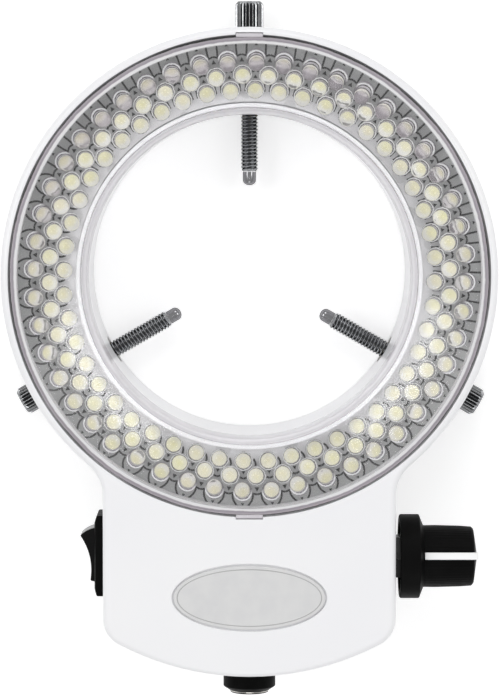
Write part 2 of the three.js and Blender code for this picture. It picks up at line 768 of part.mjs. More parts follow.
// Power inlet along -Y: flanged body, nut behind the wall, contact sleeve and pin
function addInlet() {
  const seat = boxReach + slip;
  const chamferStart = seat + inlet.flangeHeight;
  const mouth = chamferStart + inlet.flangeChamfer + inlet.noseHeight;
  const boreEnd = mouth - inlet.boreDepth;
  const back = boxReach - inlet.barrelLength;
  const body = turned([
    [0, back],
    [inlet.barrelRadius, back],
    [inlet.barrelRadius, seat],
    [inlet.flangeRadius, seat],
    [inlet.flangeRadius, chamferStart],
    [inlet.noseRadius, chamferStart + inlet.flangeChamfer],
    [inlet.noseRadius, mouth],
    [inlet.boreRadius, mouth],
    [inlet.boreRadius, boreEnd],
    [0, boreEnd],
  ]);
  const sleeveOuter = inlet.boreRadius - slip;
  const sleeve = tube(sleeveOuter - inlet.sleeveWall, sleeveOuter, boreEnd + slip,
    mouth + inlet.sleeveProud, turnedSides);
  const pin = turned([
    [0, boreEnd],
    [inlet.pinRadius, boreEnd],
    [inlet.pinRadius, boreEnd + inlet.pinLength - inlet.pinRadius],
    [0, boreEnd + inlet.pinLength],
  ], smallSides);
  const nutCorner = inlet.nutWidth / 2 / Math.cos(Math.PI / 6);
  const nutEnd = bottomWallReach(box.bottomRadius - shell.wall, nutCorner) - slip;
  const nut = solid(hexagon(inlet.nutWidth, nutEnd - inlet.nutHeight, nutEnd))
    .subtract(solid(cylinder(inlet.barrelRadius + slip, 0, boxReach)));
  const pieces = [
    ['inlet_body', body, blackPlastic],
    ['inlet_sleeve', sleeve, nickel],
    ['inlet_pin', pin, nickel],
    ['inlet_nut', geometryOf(nut), nickel],
  ];
  for (const [name, geometry, finish] of pieces) {
    addPiece(name, towardsMinusY(geometry).translate(0, 0, controlLevel), finish);
  }
}

// Driver board and its parts
function driverPlace(name) {
  const [x, y] = driverPlaceShares[name];
  return [driverCentre.x + x * driver.width, driverCentre.y + y * driver.depth];
}

function addDriver() {
  const { x, y } = driverCentre;
  let plate = solid(block(x - driver.width / 2, x + driver.width / 2,
    y - driver.depth / 2, y + driver.depth / 2, driverBottom, driverTop));
  for (const [pegAtX, pegAtY] of pegs) {
    const hole = cylinder(cover.boardPegRadius + gap, plateTop, driverTop + overrun, smallSides);
    plate = plate.subtract(solid(hole.translate(pegAtX, pegAtY, 0)));
  }
  addPiece('driver_board', geometryOf(plate), boardGreen);
  const coil = cylinder(driver.coilRadius, driverTop, driverTop + driver.coilHeight);
  addPiece('driver_coil', coil.translate(...driverPlace('coil'), 0), ferrite);
  const capacitor = cylinder(driver.capacitorRadius, driverTop, driverTop + driver.capacitorHeight);
  addPiece('driver_capacitor', capacitor.translate(...driverPlace('capacitor'), 0), blackGloss);
  const chip = block(-driver.chipWidth / 2, driver.chipWidth / 2,
    -driver.chipDepth / 2, driver.chipDepth / 2, driverTop, driverTop + driver.chipHeight);
  addPiece('driver_chip', chip.translate(...driverPlace('chip'), 0), blackPlastic);
  const transistor = block(-driver.transistorWidth / 2, driver.transistorWidth / 2,
    -driver.transistorDepth / 2, driver.transistorDepth / 2,
    driverTop, driverTop + driver.transistorHeight);
  addPiece('driver_transistor', transistor.translate(...driverPlace('transistor'), 0), blackPlastic);
}

// A round lead along a curve
function leadShape(curve, steps = leadSteps) {
  const section = new THREE.Shape(Array.from({ length: leadSides }, (_, i) => {
    const turn = 2 * Math.PI * i / leadSides;
    return new THREE.Vector2(lead.radius * Math.cos(turn), lead.radius * Math.sin(turn));
  }));
  return new THREE.ExtrudeGeometry(section, { steps, extrudePath: curve, bevelEnabled: false });
}

// A lead between two points, leaving each of them in its own direction
function freeLead(from, fromDirection, to, toDirection) {
  const start = new THREE.Vector3(...from);
  const end = new THREE.Vector3(...to);
  const afterStart = new THREE.Vector3(...fromDirection).multiplyScalar(lead.bow).add(start);
  const beforeEnd = new THREE.Vector3(...toDirection).multiplyScalar(lead.bow).add(end);
  return leadShape(new THREE.CubicBezierCurve3(start, afterStart, beforeEnd, end));
}

// A lead from the driver board, over its edge, under the floor and up through the slot to the LED board
function ledLead(x) {
  const startY = driverPlace('toLeds')[1];
  const edgeY = -(ringRadius + driver.setback / 2);
  const underLevel = (plateTop + floorBottom) / 2;
  const slotY = -boardMiddle;
  const points = [
    [x, startY, driverTop + slip],
    [x, startY, driverTop + lead.radius],
    [x, startY + lead.radius, driverTop + lead.bow / 2],
    [x, edgeY - lead.radius, driverTop + lead.bow / 2],
    [x, edgeY, driverTop],
    [x, edgeY + lead.bow, underLevel],
    [x, slotY - lead.bow, underLevel],
    [x, slotY, floorBottom],
    [x, slotY, boardSeat - gap],
  ];
  const curve = new THREE.CatmullRomCurve3(points.map((point) => new THREE.Vector3(...point)));
  return leadShape(curve, 2 * leadSteps);
}

function addLeads() {
  const up = [0, 0, 1];
  const onBoard = (name) => [...driverPlace(name), driverTop + slip];
  const inletBack = inlet.barrelLength - boxReach + slip;
  const inletLanding = [driverCentre.x + lead.radius, inletBack + lead.bow - lead.radius, driverTop + slip];
  const terminalEnd = rocker.bodyDepth - box.halfWidth + rocker.terminalLength + slip;
  const dimmerBack = sideWallInner - dimmer.bodyDepth - slip;
  const switchUpper = [terminalEnd, rocker.terminalSpread + rockerY, controlLevel];
  const switchLower = [terminalEnd, rockerY - rocker.terminalSpread, controlLevel];
  const inletLeft = [-lead.tagSpread, inletBack, controlLevel];
  const inletRight = [lead.tagSpread, inletBack, controlLevel];
  const dimmerUpper = [dimmerBack, dimmerY + lead.tagSpread, controlLevel];
  const dimmerLower = [dimmerBack, dimmerY - lead.tagSpread, controlLevel];
  addPiece('lead_inlet_switch', freeLead(inletLeft, [0, 1, 0], switchLower, [1, 0, 0]), redLead);
  addPiece('lead_switch_driver', freeLead(switchUpper, [1, 0, 0], onBoard('fromSwitch'), up), redLead);
  addPiece('lead_inlet_driver', freeLead(inletRight, [0, 1, 0], inletLanding, up), blackLead);
  addPiece('lead_dimmer_upper', freeLead(onBoard('toDimmerUpper'), up, dimmerUpper, [-1, 0, 0]), redLead);
  addPiece('lead_dimmer_lower', freeLead(onBoard('toDimmerLower'), up, dimmerLower, [-1, 0, 0]), blackLead);
  addPiece('lead_led_plus', ledLead(driver.offset + lead.spread), redLead);
  addPiece('lead_led_minus', ledLead(driver.offset - lead.spread), blackLead);
}

addPiece('front_housing', frontHousing(), whiteShell);
addPiece('rear_cover', rearCover(), whiteShell);
addPiece('clear_window', clearWindow(), clearPane);
addPiece('led_board', tube(boardInner, boardOuter, boardSeat, boardTop), boardGrey);
for (const row of rows) addPiece(`led_row_${row.name}`, ledRow(row), ledCream);
for (const screw of clampScrews) addClampScrew(screw);
[...ringPosts, ...boxPosts].forEach((place, i) => {
  addPiece(`rear_screw_${i + 1}`, rearScrewShape(place), zinc);
});
const badgeSeat = front - badge.recess;
addPiece('badge_plate', roundedPrism(badgeOval(0), badgeSeat, badgeSeat + badge.thickness, badge.edge, 1),
  badgeGrey);
addSwitch();
addDimmer();
addInlet();
addDriver();
addLeads();

export default lamp;
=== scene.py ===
"""Looks of the ring lamp for a stereo microscope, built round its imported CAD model.

Sizes are in millimetres and are turned into metres when a mesh becomes a piece.
"""

import logging
import math
from dataclasses import dataclass
from enum import Enum
from typing import Any, Sequence

import bmesh
import bpy
from mathutils import Matrix, Vector


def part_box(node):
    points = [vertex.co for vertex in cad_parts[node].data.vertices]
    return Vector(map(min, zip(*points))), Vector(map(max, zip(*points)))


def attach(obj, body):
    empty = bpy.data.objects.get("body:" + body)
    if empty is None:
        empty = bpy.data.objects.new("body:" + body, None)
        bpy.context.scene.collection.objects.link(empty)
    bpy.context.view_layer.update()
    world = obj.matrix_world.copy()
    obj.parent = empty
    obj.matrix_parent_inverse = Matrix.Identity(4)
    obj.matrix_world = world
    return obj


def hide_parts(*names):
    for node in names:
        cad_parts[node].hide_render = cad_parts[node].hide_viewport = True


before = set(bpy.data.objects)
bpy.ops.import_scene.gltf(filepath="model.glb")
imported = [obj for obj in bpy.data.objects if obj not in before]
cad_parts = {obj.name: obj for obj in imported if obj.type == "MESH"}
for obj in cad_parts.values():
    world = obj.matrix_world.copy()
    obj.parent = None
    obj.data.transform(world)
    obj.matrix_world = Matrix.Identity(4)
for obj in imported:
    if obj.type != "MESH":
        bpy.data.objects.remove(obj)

MM = 0.001
SLIP = 0.1
GAP = 0.3
OVERRUN = 2.0
SHORT_OVERRUN = 1.0
MERGE = 1e-5
ON_AXIS = 1e-9
TOUCH = 1e-6
PRINT_SINK = 0.01
NUT_CHAMFER = 0.35
NUT_LEAD_IN = 0.25
NUT_SIDES = 60
NUT_BORE_SIDES = 48
NOISE_REACH = (0.3, 0.7)
PATCH_REACH = (0.35, 0.65)
CREVICE_SHADE_REACH = (0.35, 0.85)
CREVICE_SHADE_SAMPLES = 6
EDGE_REACH = (0.02, 0.3)
EDGE_SAMPLES = 4
RUN = "run"
FLOAT = "NodeSocketFloat"
WHOLE = "NodeSocketInt"
MATERIAL = "NodeSocketMaterial"
# Each clamp screw's name, its direction round the ring in degrees, and its nose's distance from the axis
CLAMPS = (("top", 90, 17.1875), ("left", 210, 15.90625), ("right", 330, 16.40625))

Pair = tuple[float, float]
Triple = tuple[float, float, float]
Colour = tuple[float, float, float]
Band = tuple[float, Colour]
Socket = bpy.types.NodeSocket
Material = bpy.types.Material
Mesh = bpy.types.Mesh
log = logging.getLogger("ring_lamp")


class Combination(Enum):
    """The ways in which one solid meets another."""

    ADD = "UNION"
    CUT = "DIFFERENCE"
    SHARE = "INTERSECT"


class Direction(Enum):
    """Turns that lay a shape which stands along Z on another axis."""

    TOWARDS_X = Matrix.Rotation(math.pi / 2, 4, "Y")
    TOWARDS_MINUS_Y = Matrix.Rotation(math.pi / 2, 4, "X")


# Shapes

@dataclass
class Form:
    """A surface as points and faces, in millimetres."""

    points: list[Vector]
    faces: list[tuple[int, ...]]

    def moved(self, matrix: Matrix) -> "Form":
        """The same form after a turn or a move."""
        return Form([matrix @ point for point in self.points], self.faces)

    def at(self, x: float = 0, y: float = 0, z: float = 0) -> "Form":
        """The same form moved by three distances."""
        return self.moved(Matrix.Translation((x, y, z)))

    def with_form(self, other: "Form") -> "Form":
        """Both forms as one, without joining their surfaces."""
        start = len(self.points)
        shifted = [tuple(start + corner for corner in face) for face in other.faces]
        return Form(self.points + other.points, self.faces + shifted)

    def mesh(self) -> Mesh:
        """The form as a Blender mesh whose faces point outwards."""
        made = bpy.data.meshes.new("form")
        made.from_pydata([tuple(point) for point in self.points], [], self.faces)
        return outward(made)


def about_axis(degrees: float) -> Matrix:
    """A turn round the Z axis."""
    return Matrix.Rotation(math.radians(degrees), 4, "Z")


def outward(mesh: Mesh) -> Mesh:
    """Merges doubled points and turns all faces outwards.

    Args:
        mesh: the mesh to mend, which is changed.

    Returns:
        The same mesh.
    """
    work = bmesh.new()
    work.from_mesh(mesh)
    bmesh.ops.remove_doubles(work, verts=work.verts, dist=MERGE)
    bmesh.ops.recalc_face_normals(work, faces=work.faces)
    work.to_mesh(mesh)
    work.free()
    return mesh


def lathe(profile: Sequence[Pair], sides: int, closed: bool = False) -> Form:
    """Turns a profile round the Z axis.

    Args:
        profile: (radius, height) pairs. A radius of 0 lies on the axis.
        sides: steps round the axis.
        closed: True where the profile's last point joins its first.

    Returns:
        The turned form.
    """
    points: list[Vector] = []
    rows: list[list[int]] = []
    for radius, height in profile:
        start = len(points)
        if radius < ON_AXIS:
            points.append(Vector((0, 0, height)))
            rows.append([start] * sides)
            continue
        for step in range(sides):
            angle = 2 * math.pi * step / sides
            points.append(Vector((radius * math.cos(angle), radius * math.sin(angle), height)))
        rows.append(list(range(start, start + sides)))
    pairs = list(zip(rows, rows[1:] + rows[:1])) if closed else list(zip(rows, rows[1:]))
    faces = []
    for lower, upper in pairs:
        for step in range(sides):
            after = (step + 1) % sides
            corners = (lower[step], lower[after], upper[after], upper[step])
            face = tuple(dict.fromkeys(corners))
            if len(face) > 2:
                faces.append(face)
    return Form(points, faces)


def loft(loops: Sequence[Sequence[Triple]]) -> Form:
    """Joins loops of equal length into one form and closes both ends.

    Args:
        loops: rings of points, from the first end to the other.

    Returns:
        The closed form.
    """
    count = len(loops[0])
    points = [Vector(point) for loop in loops for point in loop]
    faces: list[tuple[int, ...]] = []
    for row in range(len(loops) - 1):
        for step in range(count):
            after = (step + 1) % count
            low, high = row * count, (row + 1) * count
            faces.append((low + step, low + after, high + after, high + step))
    faces.append(tuple(range(count)))
    faces.append(tuple(range(len(points) - count, len(points))))
    return Form(points, faces)


def prism(outline: Sequence[Pair], bottom: float, top: float) -> Form:
    """A straight extrusion of an outline along Z."""
    return loft([[(x, y, height) for x, y in outline] for height in (bottom, top)])


def cylinder(radius: float, bottom: float, top: float, sides: int) -> Form:
    """A plain round bar along Z, used to cut and to join."""
    return lathe([(0, bottom), (radius, bottom), (radius, top), (0, top)], sides)


def tube(inner: float, outer: float, bottom: float, top: float, sides: int) -> Form:
    """A ring with a rectangular section, round Z."""
    return lathe([(inner, bottom), (outer, bottom), (outer, top), (inner, top)], sides, closed=True)


def block(x0: float, x1: float, y0: float, y1: float, z0: float, z1: float) -> Form:
    """A box between two corners."""
    return prism([(x0, y0), (x1, y0), (x1, y1), (x0, y1)], z0, z1)


def quarter(edge: float, steps: int) -> list[Pair]:
    """Points of a quarter circle as (drawn in, risen) shares of an edge radius."""
    turns = [math.pi / 2 * step / steps for step in range(steps + 1)]
    return [(edge * (1 - math.cos(turn)), edge * math.sin(turn)) for turn in turns]


def rounded_bar(radius: float, bottom: float, top: float, edge: float, sides: int, steps: int = 4) -> Form:
    """A bar along Z whose two ends have rounded rims."""
    rise = [(radius - inset, bottom + edge - height) for inset, height in reversed(quarter(edge, steps))]
    fall = [(radius - inset, top - edge + height) for inset, height in quarter(edge, steps)]
    return lathe([(0, bottom), *rise, *fall, (0, top)], sides)


class Workpiece:
    """A solid that is cut and joined in millimetres until it is a finished mesh."""

    def __init__(self, form: Form | Mesh) -> None:
        """Starts from a form or a mesh."""
        self.mesh = form.mesh() if isinstance(form, Form) else form

    def combine(self, tool: Form, way: Combination) -> "Workpiece":
        """Cuts this solid with a tool, or joins the tool to it.

        Args:
            tool: the other solid.
            way: how the two meet.

        Returns:
            This workpiece.
        """
        target = hung("target", self.mesh)
        other = hung("tool", tool.mesh())
        modifier = target.modifiers.new("meet", "BOOLEAN")
        modifier.solver = "MANIFOLD"
        modifier.operation = way.value
        modifier.object = other
        self.mesh = applied(target)
        for item in (target, other):
            bpy.data.objects.remove(item)
        return self

    def cut(self, *tools: Form) -> "Workpiece":
        """Takes each tool out of this solid."""
        for tool in tools:
            self.combine(tool, Combination.CUT)
        return self

    def add(self, *tools: Form) -> "Workpiece":
        """Joins each tool to this solid."""
        for tool in tools:
            self.combine(tool, Combination.ADD)
        return self

    def bevelled(self, width: float, segments: int = 2, angle: float = 40) -> "Workpiece":
        """Rounds the sharp edges of this solid.

        Args:
            width: how far the rounding reaches.
            segments: steps of the rounding.
            angle: edges sharper than this many degrees are rounded.

        Returns:
            This workpiece.
        """
        target = hung("target", self.mesh)
        modifier = target.modifiers.new("round", "BEVEL")
        modifier.width = width
        modifier.segments = segments
        modifier.limit_method = "ANGLE"
        modifier.angle_limit = math.radians(angle)
        modifier.harden_normals = False
        self.mesh = applied(target)
        bpy.data.objects.remove(target)
        return self


def hung(name: str, data: Any) -> bpy.types.Object:
    """A new object in the scene."""
    made = bpy.data.objects.new(name, data)
    bpy.context.scene.collection.objects.link(made)
    return made


def applied(target: bpy.types.Object) -> Mesh:
    """The mesh that an object has after its modifiers, as plain data."""
    graph = bpy.context.evaluated_depsgraph_get()
    return bpy.data.meshes.new_from_object(target.evaluated_get(graph), depsgraph=graph)


def joined(meshes: Sequence[Mesh]) -> Mesh:
    """Several meshes as one, with their material numbers kept."""
    work = bmesh.new()
    for mesh in meshes:
        work.from_mesh(mesh)
    made = bpy.data.meshes.new("joined")
    work.to_mesh(made)
    work.free()
    return made


def place(
    name: str,
    mesh: Mesh,
    finishes: Sequence[Material],
    slot: str,
    stands_for: Sequence[str] = (),
    body: str = "housing",
    smooth: float = 35,
) -> bpy.types.Object:
    """Hangs a finished mesh in the scene as one piece.

    Args:
        name: the piece's name.
        mesh: its mesh, in millimetres.
        finishes: its materials, in the order of the mesh's material numbers.
        slot: the record's material slot meant for it; not used.
        stands_for: the CAD nodes that it replaces.
        body: the body that it rides on.
        smooth: edges flatter than this many degrees are shaded smooth.

    Returns:
        The piece.
    """
    mesh.transform(Matrix.Scale(MM, 4))
    mesh.name = name
    numbers = [min(polygon.material_index, len(finishes) - 1) for polygon in mesh.polygons]
    mesh.materials.clear()
    for finish in finishes:
        mesh.materials.append(finish)
    mesh.polygons.foreach_set("material_index", numbers)
    mesh.shade_smooth()
    mesh.set_sharp_from_angle(angle=math.radians(smooth))
    piece = hung(name, mesh)
    weighted = piece.modifiers.new("even_shading", "WEIGHTED_NORMAL")
    weighted.keep_sharp = True
    piece.data = applied(piece)
    piece.modifiers.clear()
    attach(piece, body)
    if stands_for:
        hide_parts(*stands_for)
    log.info("%s: %d faces on %s", name, len(piece.data.polygons), body)
    return piece


def dress(node: str, mesh: Mesh, finishes: Sequence[Material], slot: str, **more: Any) -> None:
    """Places a mesh in the stead of one CAD node."""
    place(f"{node}_dressed", mesh, finishes, slot, [node], **more)


# Geometry node trees

class GeometryPlan:
    """A geometry node tree with named inputs, which makes one mesh at a time."""

    def __init__(self, name: str, inputs: dict[str, str]) -> None:
        """Starts an empty tree.

        Args:
            name: the tree's name.
            inputs: each input's name and the type of its socket.
        """
        self.tree = bpy.data.node_groups.new(name, "GeometryNodeTree")
        self.sockets = {
            label: self.tree.interface.new_socket(name=label, in_out="INPUT", socket_type=kind).identifier
            for label, kind in inputs.items()
        }
        self.tree.interface.new_socket(name="Geometry", in_out="OUTPUT", socket_type="NodeSocketGeometry")
        self.given = self.tree.nodes.new("NodeGroupInput").outputs

    def node(self, kind: str, wires: dict[Any, Any], **settings: Any) -> bpy.types.Node:
        """Adds a node, sets its properties and wires or sets its inputs.

        Args:
            kind: Blender's name for the node.
            wires: a value or another node's output for each input.
            settings: the node's own properties.

        Returns:
            The node.
        """
        return wired(self.tree, kind, wires, settings)

    def sum(self, operation: str, *values: Any) -> Socket:
        """One step of arithmetic on fields or numbers."""
        wires = dict(enumerate(values))
        return self.node("ShaderNodeMath", wires, operation=operation).outputs[0]

    def end(self, geometry: Socket) -> None:
        """Ends the tree in Realize Instances and Set Material."""
        real = self.node("GeometryNodeRealizeInstances", {"Geometry": geometry})
        dressed = self.node(
            "GeometryNodeSetMaterial",
            {"Geometry": real.outputs[0], "Material": self.given["Material"]},
        )
        output = self.tree.nodes.new("NodeGroupOutput")
        self.tree.links.new(dressed.outputs[0], output.inputs[0])

    def made(self, **values: Any) -> Mesh:
        """Runs the tree with one set of values.

        Args:
            values: each input's value, with underscores for the spaces in its name.

        Returns:
            The resulting plain mesh.
        """
        carrier = hung("carrier", bpy.data.meshes.new("carrier"))
        modifier = carrier.modifiers.new("plan", "NODES")
        modifier.node_group = self.tree
        for label, value in values.items():
            modifier[self.sockets[label.replace("_", " ")]] = value
        mesh = applied(carrier)
        bpy.data.objects.remove(carrier)
        return mesh


def wired(
    tree: bpy.types.NodeTree, kind: str, wires: dict[Any, Any], settings: dict[str, Any],
) -> bpy.types.Node:
    """Adds a node to a tree.

    Args:
        tree: the tree to add to.
        kind: Blender's name for the node.
        wires: a value or another node's output for each input, by name or number.
        settings: the node's own properties.

    Returns:
        The node.
    """
    node = tree.nodes.new(kind)
    for label, value in settings.items():
        setattr(node, label, value)
    for label, value in wires.items():
        if isinstance(value, Socket):
            tree.links.new(value, node.inputs[label])
        else:
            node.inputs[label].default_value = value
    return node


class RingOfCopies(GeometryPlan):
    """Copies of one shape set out on a circle, each turned outwards and leaning to the axis."""

    def __init__(self) -> None:
        """Builds the tree."""
        super().__init__("ring_of_copies", {
            "Shape": "NodeSocketObject",
            "Count": WHOLE,
            "Radius": FLOAT,
            "Phase": FLOAT,
            "Level": FLOAT,
            "Foot": FLOAT,
            "Lean": FLOAT,
            "Swing": FLOAT,
            "Swing Centre": FLOAT,
            "Side": FLOAT,
            "Uneven Place": FLOAT,
            "Uneven Lean": FLOAT,
            "Seed": WHOLE,
            "Material": MATERIAL,
        })
        given = self.given
        index = self.node("GeometryNodeInputIndex", {}).outputs[0]
        pitch = self.sum("DIVIDE", 2 * math.pi, given["Count"])
        angle = self.sum("MULTIPLY_ADD", index, pitch, given["Phase"])
        facing = self.sum("COSINE", self.sum("SUBTRACT", angle, given["Swing Centre"]))
        swing = self.sum("MULTIPLY", self.sum("POWER", self.sum("MAXIMUM", facing, 0), 2), given["Swing"])
        lean = self.sum("ADD", self.sum("ADD", given["Lean"], swing), self.uneven("Uneven Lean", 0))
        radius = self.sum("ADD", given["Radius"], self.uneven("Uneven Place", 1))
        place_x = self.sum("MULTIPLY", self.sum("COSINE", angle), radius)
        place_y = self.sum("MULTIPLY", self.sum("SINE", angle), radius)
        tipped = self.sum("ABSOLUTE", self.sum("SINE", lean))
        level = self.sum("MULTIPLY_ADD", tipped, given["Foot"], given["Level"])
        spot = self.node("ShaderNodeCombineXYZ", {0: place_x, 1: place_y, 2: level})
        turn = self.node("ShaderNodeCombineXYZ", {
            0: self.uneven("Uneven Lean", 2),
            1: self.sum("MULTIPLY", lean, -1),
            2: angle,
        })
        points = self.node("GeometryNodePoints", {"Count": given["Count"], "Position": spot.outputs[0]})
        shape = self.node("GeometryNodeObjectInfo", {"Object": given["Shape"]})
        left_out = self.sum("LESS_THAN", self.sum("MULTIPLY", facing, given["Side"]), 0)
        copies = self.node("GeometryNodeInstanceOnPoints", {
            "Points": points.outputs[0],
            "Selection": self.sum("SUBTRACT", 1, left_out),
            "Instance": self.with_run(shape.outputs["Geometry"]),
            "Rotation": turn.outputs[0],
        })
        self.end(copies.outputs[0])

    def uneven(self, reach: str, draw: int) -> Socket:
        """A random number for each copy, within plus and minus one of the inputs.

        Args:
            reach: the input that gives the largest number.
            draw: tells one series of numbers from another.

        Returns:
            The number.
        """
        seed = self.sum("ADD", self.given["Seed"], draw)
        low = self.sum("MULTIPLY", self.given[reach], -1)
        wires = {2: low, 3: self.given[reach], "Seed": seed}
        return self.node("FunctionNodeRandomValue", wires, data_type="FLOAT").outputs[1]

    def with_run(self, shape: Socket) -> Socket:
        """Keeps each point's height less its distance from the shape's own axis, for the finishes."""
        spot = self.node("GeometryNodeInputPosition", {}).outputs[0]
        parts = self.node("ShaderNodeSeparateXYZ", {0: spot}).outputs
        squares = [self.sum("POWER", parts[axis], 2) for axis in (0, 1)]
        run = self.sum("SUBTRACT", parts[2], self.sum("SQRT", self.sum("ADD", *squares)))
        wires = {"Geometry": shape, "Name": RUN, "Value": run}
        kept = self.node("GeometryNodeStoreNamedAttribute", wires, data_type="FLOAT", domain="POINT")
        return kept.outputs[0]

    def of(self, form: Form, **values: Any) -> Mesh:
        """Sets out copies of a form.

        Args:
            form: the shape that repeats.
            values: the tree's other inputs.

        Returns:
            All copies as one mesh.
        """
        mesh = form.mesh()
        mesh.shade_smooth()
        shape = bpy.data.objects.new("shape", mesh)
        made = self.made(Shape=shape, **values)
        bpy.data.objects.remove(shape)
        return made


class ShapedBar(GeometryPlan):
    """A round bar along Z whose surface follows a rule, with chamfered ends."""

    def __init__(self, name: str, inputs: dict[str, str]) -> None:
        """Builds the tree round the rule for the depth of the pattern.

        Args:
            name: the tree's name.
            inputs: the rule's own inputs.
        """
        super().__init__(name, {
            "Length": FLOAT,
            "Radius": FLOAT,
            "End Radius": FLOAT,
            "Depth": FLOAT,
            "Edge": FLOAT,
            "Sides": WHOLE,
            "Steps": WHOLE,
            **inputs,
            "Material": MATERIAL,
        })
        given = self.given
        bar = self.node("GeometryNodeMeshCylinder", {
            "Vertices": given["Sides"],
            "Side Segments": given["Steps"],
            "Radius": given["Radius"],
            "Depth": given["Length"],
        })
        spot = self.node("GeometryNodeInputPosition", {}).outputs[0]
        parts = self.node("ShaderNodeSeparateXYZ", {0: spot}).outputs
        half = self.sum("MULTIPLY", given["Length"], 0.5)
        height = self.sum("ADD", parts[2], half)
        turn = self.sum("ARCTAN2", parts[1], parts[0])
        share = self.sum("DIVIDE", height, given["Length"])
        taper = self.sum("SUBTRACT", given["End Radius"], given["Radius"])
        full = self.sum("MULTIPLY_ADD", share, taper, given["Radius"])
        cut = self.sum("MULTIPLY", self.rule(height, turn), given["Depth"])
        inner = self.sum("SUBTRACT", full, cut)
        near = self.sum("MINIMUM", height, self.sum("SUBTRACT", given["Length"], height))
        rim = self.sum("ADD", self.sum("SUBTRACT", full, given["Edge"]), near)
        radius = self.sum("MINIMUM", inner, rim)
        moved = self.node("ShaderNodeCombineXYZ", {
            0: self.sum("MULTIPLY", self.sum("COSINE", turn), radius),
            1: self.sum("MULTIPLY", self.sum("SINE", turn), radius),
            2: height,
        })
        shaped = self.node("GeometryNodeSetPosition", {
            "Geometry": bar.outputs["Mesh"],
            "Position": moved.outputs[0],
        })
        self.end(shaped.outputs[0])

    def rule(self, height: Socket, turn: Socket) -> Socket:
        """How deep the pattern cuts at a point, from 0 to 1."""
        raise NotImplementedError


class Thread(ShapedBar):
    """A right-hand screw thread."""

    def __init__(self) -> None:
        """Adds the pitch to the bar's inputs."""
        super().__init__("thread", {"Pitch": FLOAT})

    def rule(self, height: Socket, turn: Socket) -> Socket:
        """A triangle wave that climbs one pitch each turn."""
        along = self.sum("DIVIDE", height, self.given["Pitch"])
        round_share = self.sum("DIVIDE", turn, 2 * math.pi)
        return self.sum("PINGPONG", self.sum("MULTIPLY", self.sum("SUBTRACT", along, round_share), 2), 1)


class Knurl(ShapedBar):
    """Straight ridges along a bar."""

    def __init__(self) -> None:
        """Adds the number of ridges to the bar's inputs."""
        super().__init__("knurl", {"Ridges": FLOAT})

    def rule(self, height: Socket, turn: Socket) -> Socket:
        """A wave round the bar that is the same at every height."""
        wave = self.sum("COSINE", self.sum("MULTIPLY", turn, self.given["Ridges"]))
        return self.sum("MULTIPLY_ADD", wave, -0.5, 0.5)


# Finishes

